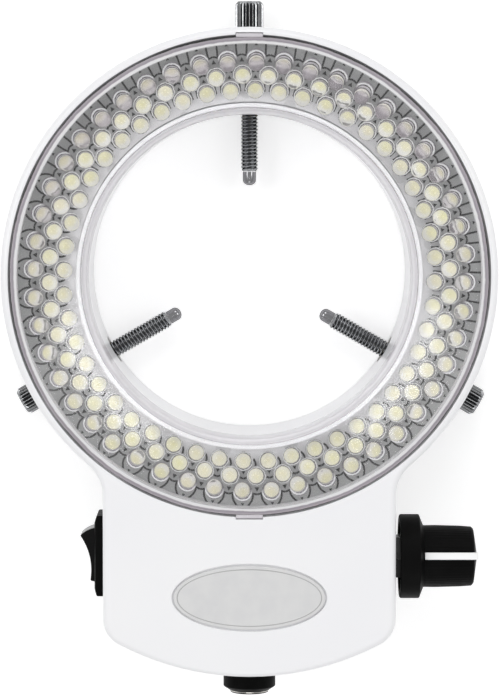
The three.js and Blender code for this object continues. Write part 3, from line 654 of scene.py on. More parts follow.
class ShaderPlan:
    """The shader nodes of one material."""

    def __init__(self, name: str) -> None:
        """Starts an empty material with an output.

        Args:
            name: the material's name.
        """
        self.material = bpy.data.materials.new(name)
        self.material.use_nodes = True
        self.tree = self.material.node_tree
        self.tree.nodes.clear()
        self.output = self.tree.nodes.new("ShaderNodeOutputMaterial")
        self.spot = self.node("ShaderNodeTexCoord", {}).outputs["Object"]

    def node(self, kind: str, wires: dict[Any, Any], **settings: Any) -> bpy.types.Node:
        """Adds a node with its inputs set or wired."""
        return wired(self.tree, kind, wires, settings)

    def sum(self, operation: str, *values: Any) -> Socket:
        """One step of arithmetic."""
        return self.node("ShaderNodeMath", dict(enumerate(values)), operation=operation).outputs[0]

    def noise(self, size: float, detail: float = 3) -> Socket:
        """Noise whose grains are about the given size in millimetres, with finer layers in them."""
        wires = {"Vector": self.spot, "Scale": 1 / (size * MM), "Detail": detail}
        return self.node("ShaderNodeTexNoise", wires).outputs["Fac"]

    def ranged(self, value: Any, low: float, high: float, to_low: float, to_high: float) -> Socket:
        """A value mapped from one range to another and kept inside it."""
        wires = {0: value, 1: low, 2: high, 3: to_low, 4: to_high}
        return self.node("ShaderNodeMapRange", wires, clamp=True).outputs[0]

    def uneven(self, size: float, low: float, high: float, detail: float = 3) -> Socket:
        """Noise of a grain size in millimetres, spread from one number to another."""
        return self.ranged(self.noise(size, detail), *NOISE_REACH, low, high)

    def mixed(self, share: Any, first: Socket | Colour, second: Socket | Colour) -> Socket:
        """Two colours mixed by a share."""
        wires = {0: share}
        for label, colour in ((6, first), (7, second)):
            wires[label] = colour + (1,) if isinstance(colour, tuple) else colour
        return self.node("ShaderNodeMix", wires, data_type="RGBA").outputs[2]

    def ramp(self, value: Any, stops: Sequence[Band]) -> Socket:
        """A colour that follows a value through given stops.

        Args:
            value: the value.
            stops: (value, colour) pairs in rising order.

        Returns:
            The colour.
        """
        low, high = stops[0][0], stops[-1][0]
        node = self.node("ShaderNodeValToRGB", {0: self.ranged(value, low, high, 0, 1)})
        elements = node.color_ramp.elements
        while len(elements) < len(stops):
            elements.new(0.5)
        for element, (place_value, colour) in zip(elements, stops):
            element.position = (place_value - low) / (high - low)
            element.color = colour + (1,)
        return node.outputs[0]

    def radius(self) -> Socket:
        """The distance from the lamp's axis in millimetres."""
        parts = self.node("ShaderNodeSeparateXYZ", {0: self.spot}).outputs
        squares = [self.sum("POWER", parts[axis], 2) for axis in (0, 1)]
        return self.sum("DIVIDE", self.sum("SQRT", self.sum("ADD", *squares)), MM)

    def along_y(self) -> Socket:
        """How far a point lies from the lamp's axis along Y, in millimetres."""
        return self.sum("DIVIDE", self.node("ShaderNodeSeparateXYZ", {0: self.spot}).outputs[1], MM)

    def run(self) -> Socket:
        """How far up its own shape a point lies, as the ring of copies keeps it."""
        return self.node("ShaderNodeAttribute", {}, attribute_name=RUN).outputs["Fac"]

    def crevice_shade_mask(self, reach: float) -> Socket:
        """A mask for painted shade: 1 in the open and 0 deep in grooves of the given width in millimetres."""
        node = self.node("ShaderNodeAmbientOcclusion", {"Distance": reach * MM}, samples=CREVICE_SHADE_SAMPLES)
        return self.ranged(node.outputs["AO"], *CREVICE_SHADE_REACH, 0, 1)

    def bump(self, height: Any, depth: float) -> Socket:
        """A bumped normal whose full height is the given depth in millimetres."""
        return self.node("ShaderNodeBump", {"Distance": depth * MM, "Height": height}).outputs[0]

    def edges(self, radius: float) -> Socket:
        """A mask that is 1 on sharp edges and 0 on flat faces."""
        rounded = self.node("ShaderNodeBevel", {"Radius": radius * MM}, samples=EDGE_SAMPLES).outputs[0]
        plain = self.node("ShaderNodeNewGeometry", {}).outputs["Normal"]
        alike = self.node("ShaderNodeVectorMath", {0: rounded, 1: plain}, operation="DOT_PRODUCT")
        return self.ranged(self.sum("SUBTRACT", 1, alike.outputs["Value"]), *EDGE_REACH, 0, 1)

    def surface(self, shader: bpy.types.Node) -> Material:
        """Ends the material in a shader.

        Args:
            shader: the last shader node.

        Returns:
            The finished material.
        """
        self.tree.links.new(shader.outputs[0], self.output.inputs["Surface"])
        return self.material

    def glass(self, shader: bpy.types.Node) -> Material:
        """Ends the material in a clear shader that lets light through to what lies behind it."""
        path = self.node("ShaderNodeLightPath", {})
        open_air = self.node("ShaderNodeBsdfTransparent", {})
        mix = self.node("ShaderNodeMixShader", {
            0: path.outputs["Is Shadow Ray"],
            1: shader.outputs[0],
            2: open_air.outputs[0],
        })
        return self.surface(mix)


@dataclass(frozen=True)
class MouldedPlastic:
    """Moulded plastic with a fine grain, slightly uneven in colour and rubbed along its edges."""

    name: str
    colour: Colour
    shade: Colour
    rubbed: Colour
    roughness: Pair
    grain: float = 0.35
    grain_depth: float = 0.006
    patch: float = 9
    rub: float = 1.5
    cloud: float = 2.5
    wear: float = 0.25
    rub_share: float = 0.5
    coat: float = 0
    coat_roughness: float = 0.08
    specular: float = 0.5

    def material(self) -> Material:
        """Builds the shader.

        Returns:
            The material.
        """
        plan = ShaderPlan(self.name)
        grain = plan.noise(self.grain, 4)
        patches = plan.ranged(plan.noise(self.patch, 2), *PATCH_REACH, 0, 1)
        touched = plan.ranged(plan.noise(self.rub), *PATCH_REACH, 0, self.rub_share)
        rub = plan.sum("MULTIPLY", plan.edges(self.wear), touched)
        colour = plan.mixed(rub, plan.mixed(patches, self.colour, self.shade), self.rubbed)
        return plan.surface(plan.node("ShaderNodeBsdfPrincipled", {
            "Base Color": colour,
            "Roughness": plan.uneven(self.cloud, *self.roughness),
            "Normal": plan.bump(grain, self.grain_depth),
            "Specular IOR Level": self.specular,
            "Coat Weight": self.coat,
            "Coat Roughness": self.coat_roughness,
        }))


@dataclass(frozen=True)
class WorkedMetal:
    """Metal with fine machining marks, dull patches, brighter edges and painted shade deep in its grooves."""

    name: str
    colour: Colour
    dull: Colour
    bright: Colour
    roughness: Pair
    mark: float = 0.12
    mark_depth: float = 0.002
    patch: float = 1.8
    patch_reach: Pair = (0.4, 0.7)
    cloud: float = 0.9
    wear: float = 0.12
    dull_share: float = 0.6
    # Width in millimetres of the grooves that get painted shade
    groove: float = 0.5
    crevice_shade_colour: Colour = (0.01, 0.01, 0.01)
    rim_tint: float = 1.0

    def material(self) -> Material:
        """Builds the shader.

        Returns:
            The material.
        """
        plan = ShaderPlan(self.name)
        marks = plan.noise(self.mark)
        tarnish = plan.ranged(plan.noise(self.patch), *self.patch_reach, 0, self.dull_share)
        face = plan.mixed(plan.edges(self.wear), plan.mixed(tarnish, self.colour, self.dull), self.bright)
        return plan.surface(plan.node("ShaderNodeBsdfPrincipled", {
            # Painted shade: grooves darken towards the shade colour by ambient occlusion
            "Base Color": plan.mixed(plan.crevice_shade_mask(self.groove), self.crevice_shade_colour, face),
            "Metallic": 1.0,
            "Specular Tint": (self.rim_tint,) * 3 + (1,),
            "Roughness": plan.uneven(self.cloud, *self.roughness),
            "Normal": plan.bump(marks, self.mark_depth),
        }))


@dataclass(frozen=True)
class WindowPlastic:
    """Clear moulded plastic whose standing walls carry painted light and painted shade, milky bands round the
    axis.
    """

    name: str
    clear: Colour
    painted_light_bands: tuple[Band, ...]
    painted_light_shares: tuple[Band, ...]
    waver: float
    roughness: Pair
    specular: float = 0.2
    index: float = 1.49
    wave: float = 14
    streak: float = 1.1
    cloud: float = 3
    ripple: float = 6
    ripple_depth: float = 0.0005

    def material(self) -> Material:
        """Builds the shader.

        Returns:
            The material.
        """
        plan = ShaderPlan(self.name)
        swing = plan.uneven(self.wave, -self.waver, self.waver, 2)
        streak = plan.uneven(self.streak, -self.waver / 3, self.waver / 3, 2)
        radius = plan.sum("ADD", plan.radius(), plan.sum("ADD", swing, streak))
        clear = plan.node("ShaderNodeBsdfPrincipled", {
            "Base Color": self.clear + (1,),
            "Roughness": plan.uneven(self.cloud, *self.roughness),
            "IOR": self.index,
            "Specular IOR Level": self.specular,
            "Transmission Weight": 1.0,
            "Normal": plan.bump(plan.noise(self.ripple, 1), self.ripple_depth),
        })
        # The walls' pale and dark bands are painted light and painted shade, for the light caught inside the
        # clear walls
        painted_light = plan.node("ShaderNodeBsdfDiffuse", {"Color": plan.ramp(radius, self.painted_light_bands)})
        mix = plan.node("ShaderNodeMixShader", {
            0: plan.ramp(plan.radius(), self.painted_light_shares),
            1: clear.outputs[0],
            2: painted_light.outputs[0],
        })
        return plan.glass(mix)


@dataclass(frozen=True)
class LedEpoxy:
    """Water-clear epoxy, faintly milky, with the slight unevenness of a cast lens.

    Its bands are (height up the LED, colour, share) and give its rims and its dome a milky tint with painted
    highlights and painted shade.
    A painted shade darkens the side towards the lamp's axis, and a painted sheen clouds the domes more and
    more along Y.
    """

    name: str
    colour: Colour
    bands: tuple[tuple[float, Colour, float], ...]
    milk_share: float
    roughness: Pair
    shade: Colour = (0.22, 0.21, 0.22)
    shade_range: Pair = (0, 0.001)
    shade_top: Pair = (1.2, 1.4)
    painted_sheen: float = 0
    painted_sheen_rise: Pair = (-5, 30)
    painted_sheen_start: Pair = (2.1, 2.5)
    index: float = 1.5
    tint: float = 4
    cloud: float = 0.8
    streak: float = 0.7
    streak_reach: float = 0.08
    ripple: float = 0.9
    ripple_depth: float = 0.012

    def material(self) -> Material:
        """Builds the shader.

        Returns:
            The material.
        """
        plan = ShaderPlan(self.name)
        own = plan.node("ShaderNodeNewGeometry", {}).outputs["Random Per Island"]
        clear = plan.node("ShaderNodeBsdfPrincipled", {
            "Base Color": plan.mixed(plan.noise(self.tint), self.colour, (1, 1, 1)),
            "Roughness": plan.uneven(self.cloud, *self.roughness),
            "IOR": self.index,
            "Transmission Weight": 1.0,
            "Normal": plan.bump(plan.noise(self.ripple, 2), self.ripple_depth),
        })
        streaks = plan.uneven(self.streak, -self.streak_reach, self.streak_reach)
        run = plan.sum("ADD", plan.run(), streaks)
        # Painted highlights and painted shade: pale and dark rings up each LED, over a milky tint
        milk_light_shade = plan.ramp(run, [(start, colour) for start, colour, _ in self.bands])
        share = plan.ramp(run, [(start, (amount,) * 3) for start, _, amount in self.bands])
        # Painted shade on the side of each LED that faces the lamp's axis, below the shade top
        inner = plan.ranged(plan.radius(), *self.shade_range, 1, 0)
        side = plan.sum("MULTIPLY", inner, plan.ranged(run, *self.shade_top, 1, 0))
        # Painted sheen: the domes cloud more and more towards +Y
        painted_sheen_share = plan.ranged(plan.along_y(), *self.painted_sheen_rise, 0, self.painted_sheen)
        painted_sheen = plan.ranged(run, *self.painted_sheen_start, 0, painted_sheen_share)
        mix = plan.node("ShaderNodeMixShader", {
            0: plan.sum("ADD", plan.sum("MULTIPLY_ADD", own, self.milk_share, share), painted_sheen),
            1: clear.outputs[0],
            2: plan.node("ShaderNodeBsdfDiffuse", {"Color": plan.mixed(side, milk_light_shade, self.shade)}).outputs[0],
        })
        return plan.glass(mix)


@dataclass(frozen=True)
class LedPhosphor:
    """Cast phosphor, paler towards its rim, whose yellow differs a little from LED to LED, with a painted
    glow although the LED is off.
    """

    name: str
    colour: tuple[Band, ...]
    other: tuple[Band, ...]
    # Strength of the painted glow
    glow: float
    roughness: Pair = (0.4, 0.6)
    cloud: float = 0.5
    speck: float = 0.25
    speck_share: float = 0.2
    grain: float = 0.15
    grain_depth: float = 0.01

    def material(self) -> Material:
        """Builds the shader.

        Returns:
            The material.
        """
        plan = ShaderPlan(self.name)
        own = plan.node("ShaderNodeNewGeometry", {}).outputs["Random Per Island"]
        specks = plan.uneven(self.speck, -self.speck_share, self.speck_share)
        first, second = plan.ramp(plan.run(), self.colour), plan.ramp(plan.run(), self.other)
        colour = plan.mixed(plan.sum("ADD", own, specks), first, second)
        return plan.surface(plan.node("ShaderNodeBsdfPrincipled", {
            "Base Color": colour,
            # Painted glow: the unlit phosphor gives off a little light in its own colour
            "Emission Color": colour,
            "Emission Strength": self.glow,
            "Roughness": plan.uneven(self.cloud, *self.roughness),
            "Normal": plan.bump(plan.noise(self.grain), self.grain_depth),
        }))


@dataclass(frozen=True)
class BoardMask:
    """Solder mask over glass cloth and copper, with painted light that makes it paler towards the lamp's
    axis.
    """

    name: str
    colour: Colour
    speck_and_painted_light_colour: Colour
    copper_tint: Colour
    painted_light_reach: Pair
    copper: float = 4.5
    copper_edge: Pair = (0.32, 0.36)
    copper_share: float = 0.35
    cloth: float = 2.4
    cloth_wander: float = 1.5
    cloth_share: float = 0.3
    speck: float = 0.25
    speck_share: float = 0.2
    cloud: float = 1.2
    roughness: Pair = (0.35, 0.5)
    depth: float = 0.02

    def material(self) -> Material:
        """Builds the shader.

        Returns:
            The material.
        """
        plan = ShaderPlan(self.name)
        # Painted light: the mask turns pale towards the lamp's axis
        share = plan.ranged(plan.radius(), *self.painted_light_reach, 1, 0)
        copper = plan.node("ShaderNodeTexVoronoi", {"Vector": plan.spot, "Scale": 1 / (self.copper * MM)})
        copper_share = plan.ranged(copper.outputs["Distance"], *self.copper_edge, self.copper_share, 0)
        cloth = plan.node("ShaderNodeTexWave", {
            "Vector": plan.spot,
            "Scale": 1 / (self.cloth * MM),
            "Distortion": self.cloth_wander,
        }, bands_direction="DIAGONAL")
        base = plan.mixed(share, self.colour, self.speck_and_painted_light_colour)
        tinted = plan.mixed(copper_share, base, self.copper_tint)
        weave = plan.sum("MULTIPLY", cloth.outputs["Fac"], self.cloth_share)
        return plan.surface(plan.node("ShaderNodeBsdfPrincipled", {
            "Base Color": plan.mixed(plan.uneven(self.speck, 0, self.speck_share), tinted, self.speck_and_painted_light_colour),
            "Roughness": plan.uneven(self.cloud, *self.roughness),
            "Normal": plan.bump(plan.sum("ADD", copper_share, weave), self.depth),
        }))


@dataclass(frozen=True)
class FloorPaper:
    """White paper that shows as plain white and keeps a soft shadow."""

    name: str
    colour: Colour
    glow: float
    roughness: float = 0.8
    grain: float = 0.6
    grain_depth: float = 0.01

    def material(self) -> Material:
        """Builds the shader.

        Returns:
            The material.
        """
        plan = ShaderPlan(self.name)
        path = plan.node("ShaderNodeLightPath", {}).outputs
        mirrored = plan.sum("MAXIMUM", path["Is Glossy Ray"], path["Is Transmission Ray"])
        seen = plan.sum("MAXIMUM", path["Is Camera Ray"], mirrored)
        return plan.surface(plan.node("ShaderNodeBsdfPrincipled", {
            "Base Color": self.colour + (1,),
            "Roughness": self.roughness,
            "Specular IOR Level": 0.0,
            "Emission Color": (1, 1, 1, 1),
            "Emission Strength": plan.sum("MULTIPLY", seen, self.glow),
            "Normal": plan.bump(plan.noise(self.grain), self.grain_depth),
        }))


def plastic(*given: Any, **more: Any) -> Material:
    """The material of a moulded plastic."""
    return MouldedPlastic(*given, **more).material()


def metal(*given: Any, **more: Any) -> Material:
    """The material of a worked metal."""
    return WorkedMetal(*given, **more).material()


def grey(value: float) -> Colour:
    """A neutral colour."""
    return (value, value, value)


# Painted light and painted shade on the window's walls: their colours by the distance from the axis in
# millimetres
WINDOW_PAINTED_LIGHT = (
    (31.2, (0.83, 0.81, 0.84)), (31.6, (0.93, 0.92, 0.94)), (32.1, (0.72, 0.70, 0.73)),
    (32.6, (0.90, 0.89, 0.91)), (44.8, (0.90, 0.90, 0.91)), (45.3, (0.92, 0.91, 0.92)),
    (45.5, (0.36, 0.33, 0.37)), (45.9, (0.50, 0.46, 0.50)), (46.05, (0.40, 0.37, 0.40)),
    (46.12, grey(0.03)),
)
# How much of that painted light and shade the window shows, by the same distance
WINDOW_PAINTED_LIGHT_SHARE = ((32.3, grey(0.55)), (32.5, grey(0.02)), (44.7, grey(0.02)), (44.95, grey(0.75)))
# Bands of the clear and of the milky LEDs, a milky tint with painted highlights and painted shade: the way up
# in millimetres, the colour and its share
CLEAR_LED_LIGHT_SHADE_BANDS = (
    (-1.9, (0.80, 0.79, 0.80), 0.35), (-1.15, (0.80, 0.79, 0.80), 0.35),
    (-1.08, grey(0.04), 0.8), (-0.93, grey(0.04), 0.8),
    (-0.86, grey(0.97), 0.75), (-0.68, grey(0.97), 0.7),
    (-0.62, grey(0.05), 0.75), (-0.42, grey(0.05), 0.7),
    (-0.34, (0.95, 0.92, 0.93), 0.6), (0.05, (0.93, 0.88, 0.90), 0.5),
    (0.2, (0.62, 0.56, 0.60), 0.3), (1.3, (0.62, 0.56, 0.60), 0.25),
    (1.45, (0.08, 0.07, 0.08), 0.55), (1.75, (0.08, 0.07, 0.08), 0.5),
    (1.9, (0.95, 0.95, 0.93), 0.35), (2.3, (0.95, 0.95, 0.93), 0.25),
    (2.6, (0.66, 0.62, 0.66), 0.04),
)
MILKY_LED_LIGHT_SHADE_BANDS = (
    (-1.9, (0.50, 0.48, 0.51), 0.5), (-1.05, (0.50, 0.48, 0.51), 0.5),
    (-0.97, (0.93, 0.93, 0.94), 0.9), (-0.6, (0.93, 0.93, 0.94), 0.9),
    (-0.52, (0.05, 0.04, 0.05), 0.9), (-0.15, (0.05, 0.04, 0.05), 0.85),
    (-0.05, (0.85, 0.82, 0.85), 0.8), (0.75, (0.85, 0.82, 0.85), 0.8),
    (0.85, (0.10, 0.09, 0.10), 0.8), (1.25, (0.10, 0.09, 0.10), 0.8),
    (1.35, (0.96, 0.94, 0.89), 0.85), (2.05, (0.95, 0.92, 0.86), 0.7),
    (2.2, (0.40, 0.37, 0.40), 0.4), (2.45, (0.50, 0.45, 0.49), 0.08),
)
# Two yellows of the phosphor, from its rim to its middle
YELLOW = (
    (1.5, (0.90, 0.90, 0.86)), (1.66, (0.90, 0.895, 0.76)),
    (1.85, (0.86, 0.84, 0.54)), (2.15, (0.82, 0.79, 0.40)),
)
PALE_YELLOW = (
    (1.5, (0.92, 0.92, 0.89)), (1.66, (0.92, 0.92, 0.85)),
    (1.85, (0.90, 0.87, 0.66)), (2.15, (0.88, 0.83, 0.56)),
)
# Colour, patches and rubbed edges of the black plastics
BLACK = (grey(0.0025), grey(0.004), grey(0.015))


@dataclass(frozen=True)
class Finishes:
    """Every finish of the lamp, each made once."""

    shell: Material
    window: Material
    board: Material
    ink: Material
    epoxy: Material
    milky_epoxy: Material
    tab: Material
    phosphor: Material
    lead_frame: Material
    solder: Material
    chrome: Material
    nose: Material
    brass: Material
    steel: Material
    badge: Material
    badge_line: Material
    black: Material
    gloss_black: Material
    zinc: Material
    nut_black: Material
    nickel: Material
    pointer: Material
    driver: Material
    ferrite: Material
    sleeve: Material
    red: Material
    black_lead: Material

    @staticmethod
    def made() -> "Finishes":
        """Builds all materials.

        Returns:
            The finishes.
        """
        return Finishes(
            shell=plastic("white_shell", (0.90, 0.90, 0.91), (0.88, 0.88, 0.90), (0.84, 0.84, 0.85),
                          (0.28, 0.36), grain_depth=0.003, patch=30, wear=0.3, rub_share=0.2, coat=0.15),
            window=WindowPlastic("clear_window", (0.985, 0.983, 0.987), WINDOW_PAINTED_LIGHT, WINDOW_PAINTED_LIGHT_SHARE,
                                 0.14, (0.055, 0.065)).material(),
            # The board's pale colour between 34.4 and 38.0 mm from the axis is painted light
            board=BoardMask("led_board", (0.32, 0.325, 0.325), (0.92, 0.92, 0.93), (0.40, 0.405, 0.40),
                            (34.4, 38.0)).material(),
            ink=plastic("board_ink", grey(0.006), (0.01, 0.01, 0.011), grey(0.03), (0.5, 0.6), specular=0.05),
            epoxy=LedEpoxy("led_epoxy", (0.985, 0.985, 0.975), CLEAR_LED_LIGHT_SHADE_BANDS, 0.06, (0.02, 0.06)).material(),
            milky_epoxy=LedEpoxy("led_epoxy_milky", (0.975, 0.97, 0.975), MILKY_LED_LIGHT_SHADE_BANDS, 0.12, (0.03, 0.08),
                                 shade_range=(41.7, 42.7), painted_sheen=0.3).material(),
            tab=plastic("window_tab", (0.66, 0.64, 0.67), (0.60, 0.57, 0.61), (0.80, 0.79, 0.81), (0.2, 0.3)),
            # The phosphor's last number is its painted glow
            phosphor=LedPhosphor("led_phosphor", YELLOW, PALE_YELLOW, 0.07).material(),
            lead_frame=metal("led_lead_frame", (0.88, 0.87, 0.86), (0.78, 0.77, 0.76), grey(0.9), (0.4, 0.55),
                             groove=0.05),
            solder=metal("board_solder", (0.62, 0.62, 0.63), (0.45, 0.45, 0.46), grey(0.8), (0.2, 0.4)),
            chrome=metal("screw_chrome", (0.42, 0.43, 0.44), (0.22, 0.22, 0.23), (0.92, 0.92, 0.93),
                         (0.10, 0.2), groove=1.1, rim_tint=0.08),
            # Painted reflection: the nose is a darker copy of the chrome, for the dark reflections it shows
            nose=metal("nose_chrome", (0.33, 0.33, 0.34), (0.22, 0.22, 0.23), grey(0.9), (0.08, 0.15),
                       dull_share=0.4, rim_tint=0.04),
            brass=metal("insert_brass", (0.60, 0.44, 0.17), (0.42, 0.30, 0.12), (0.85, 0.66, 0.30),
                        (0.2, 0.4)),
            steel=metal("rear_screw_steel", (0.46, 0.47, 0.48), (0.32, 0.33, 0.34), (0.75, 0.76, 0.78),
                        (0.22, 0.4)),
            badge=plastic("badge_grey", grey(0.69), (0.66, 0.66, 0.665), grey(0.80), (0.3, 0.42),
                          grain=0.12, grain_depth=0.002, patch=3),
            badge_line=plastic("badge_line", grey(0.42), grey(0.45), grey(0.5), (0.4, 0.5)),
            black=plastic("black_plastic", *BLACK, (0.42, 0.54), specular=0.045),
            gloss_black=plastic("rocker_black", *BLACK, (0.14, 0.24), grain_depth=0.002, specular=0.14),
            zinc=metal("dimmer_zinc", (0.52, 0.53, 0.54), (0.40, 0.40, 0.41), (0.72, 0.73, 0.74),
                       (0.3, 0.45)),
            nut_black=metal("dimmer_nut_black", grey(0.03), grey(0.05), grey(0.2), (0.3, 0.45)),
            nickel=metal("shaft_nickel", (0.66, 0.64, 0.60), (0.5, 0.48, 0.44), (0.85, 0.84, 0.8),
                         (0.15, 0.28)),
            pointer=plastic("pointer_white", grey(0.95), grey(0.92), (0.80, 0.80, 0.79), (0.35, 0.5)),
            driver=BoardMask("driver_green", (0.03, 0.16, 0.07), (0.05, 0.22, 0.10), (0.05, 0.25, 0.09),
                             (50, 64)).material(),
            ferrite=plastic("coil_ferrite", (0.03, 0.03, 0.032), (0.045, 0.045, 0.05), grey(0.12),
                            (0.6, 0.8), grain=0.2, grain_depth=0.02),
            sleeve=plastic("capacitor_sleeve", (0.02, 0.025, 0.05), (0.03, 0.035, 0.06), (0.1, 0.1, 0.14),
                           (0.2, 0.3)),
            red=plastic("lead_red", (0.45, 0.015, 0.012), (0.38, 0.012, 0.012), (0.6, 0.08, 0.06),
                        (0.35, 0.5)),
            black_lead=plastic("lead_black", grey(0.014), grey(0.02), grey(0.06), (0.35, 0.5)),
        )


# Housing

@dataclass(frozen=True)
class Levels:
    """Heights above the rear rim of the collar, and the sizes that several pieces share."""

    collar: float = 9.5
    seam: float = 11.5
    floor_bottom: float = 15.4
    floor_top: float = 17.0
    board_seat: float = 18.9
    board_top: float = 20.5
    pane_under: float = 26.5
    front: float = 28.0
    control: float = 18.75
    clamp: float = 5.0
    bore: float = 31.25
    tube_outer: float = 33.4
    board_inner: float = 33.7
    board_outer: float = 46.2
    lip: float = 46.5
    wall: float = 1.5
    pane_wall: float = 1.15
    tab_depth: float = 1.5
    side_wall: float = 28.4
    end_wall: float = 77.8
    bush: float = 3.2
    inlet: float = 4.0
    rocker_y: float = -54.608
    dimmer_y: float = -55.2865
    badge_y: float = -62.1895
    round_steps: int = 240


@dataclass(frozen=True)
class ShellOutline:
    """The common outline of the ring and the control box."""

    levels: Levels
    ring_radius: float = 48.0
    bottom_radius: float = 54.0
    corner_radius: float = 5.5
    shoulder_radius: float = 8.0
    ring_steps: int = 168
    shoulder_steps: int = 10
    corner_steps: int = 10
    bottom_steps: int = 20

    def drawn(self, inset: float) -> list[Pair]:
        """The outline's points, with the same count for every inset.

        Args:
            inset: how far the outline is drawn in.

        Returns:
            The points, counter-clockwise.
        """
        half = self.levels.side_wall - inset
        shoulder = self.shoulder_radius + inset
        corner = max(self.corner_radius - inset, SLIP)
        bottom = self.bottom_radius - inset
        bottom_y = self.bottom_radius - self.levels.end_wall
        shoulder_x = half + shoulder
        shoulder_y = -math.sqrt((self.ring_radius - inset + shoulder) ** 2 - shoulder_x ** 2)
        corner_x = half - corner
        corner_y = bottom_y - math.sqrt((bottom - corner) ** 2 - corner_x ** 2)
        shoulder_turn = math.atan2(-shoulder_y, shoulder_x)
        corner_turn = math.atan2(corner_x, bottom_y - corner_y)
        down = 1.5 * math.pi
        arcs = [
            (0, 0, self.ring_radius - inset, -shoulder_turn, math.pi + shoulder_turn, self.ring_steps),
            (-shoulder_x, shoulder_y, shoulder, shoulder_turn, 0, self.shoulder_steps),
            (-corner_x, corner_y, corner, math.pi, down - corner_turn, self.corner_steps),
            (0, bottom_y, bottom, down - corner_turn, down + corner_turn, self.bottom_steps),
            (corner_x, corner_y, corner, down + corner_turn, 2 * math.pi, self.corner_steps),
            (shoulder_x, shoulder_y, shoulder, math.pi, math.pi - shoulder_turn, self.shoulder_steps),
        ]
        points: list[Pair] = []
        for x, y, radius, start, end, steps in arcs:
            turns = [start + (end - start) * step / steps for step in range(steps + 1)]
            arc = [(x + radius * math.cos(turn), y + radius * math.sin(turn)) for turn in turns]
            met = bool(points) and math.dist(points[-1], arc[0]) < TOUCH
            points += arc[1:] if met else arc
        return points[:-1]

    def walls(self, inset: float, bottom: float, top: float) -> Form:
        """A straight prism of the outline."""
        return prism(self.drawn(inset), bottom, top)


@dataclass(frozen=True)
class RearScrews:
    """The six slotted screws that hold the rear cover, and the posts that they go into."""

    levels: Levels
    outline: ShellOutline
    post_radius: float = 2.6
    shank_radius: float = 1.2
    length: float = 5.0
    head_radius: float = 2.3
    head_height: float = 0.9
    head_recess: float = 1.0
    slot_width: float = 0.6
    pitch: float = 0.9
    thread_depth: float = 0.3
    crown: tuple[Pair, ...] = ((0.7, 0), (0.35, 0.06), (0.1, 0.22), (0, 0.45))
    slot_depth: float = 0.5
    slot_turn: float = 35
    tip_share: float = 0.7
    tip_length: float = 0.5
    head_sides: int = 40
    shank_sides: int = 16
    shank_steps: int = 33
    ring_place: float = 40.6
    ring_directions: tuple[float, ...] = (0, 60, 120, 180)
    box_x: float = 13.1
    box_post_inset: float = 5.9

    def places(self) -> list[Pair]:
        """Where the six posts stand, the four on the ring first."""
        turns = [math.radians(direction) for direction in self.ring_directions]
        ring = [(self.ring_place * math.cos(turn), self.ring_place * math.sin(turn)) for turn in turns]
        bottom = self.outline.bottom_radius
        radius = bottom - self.box_post_inset
        y = -(self.levels.end_wall - bottom + math.sqrt(radius ** 2 - self.box_x ** 2))
        return ring + [(-self.box_x, y), (self.box_x, y)]

    def shape(self, thread: Thread, finish: Material) -> Mesh:
        """One screw, head down.

        Args:
            thread: the tree that makes threads.
            finish: the screw's material.

        Returns:
            The screw's mesh round the Z axis, with its head at the right level.
        """
        low = self.levels.collar + self.head_recess - self.head_height
        high = low + self.head_height
        radius = self.head_radius
        crown = [(radius - inset, low + rise) for inset, rise in self.crown]
        head = Workpiece(lathe([(0, low), *crown, (radius, high), (0, high)], self.head_sides))
        half, past = self.slot_width / 2, radius + SHORT_OVERRUN
        head.cut(block(-past, past, -half, half, low - SHORT_OVERRUN, low + self.slot_depth))
        shank = thread.made(
            Length=self.length, Radius=self.shank_radius, End_Radius=self.shank_radius * self.tip_share,
            Depth=self.thread_depth, Edge=self.tip_length, Sides=self.shank_sides, Steps=self.shank_steps,
            Pitch=self.pitch, Material=finish,
        )
        shank.transform(Matrix.Translation((0, 0, high - SLIP / 2)))
        return joined([head.mesh, shank])

    def build(self, thread: Thread, finish: Material) -> None:
        """Makes and places the six screws."""
        for number, (x, y) in enumerate(self.places(), start=1):
            mesh = self.shape(thread, finish)
            mesh.transform(Matrix.Translation((x, y, 0)) @ about_axis(self.slot_turn * number))
            dress(f"rear_screw_{number}", mesh, [finish], "rear_screw_steel")


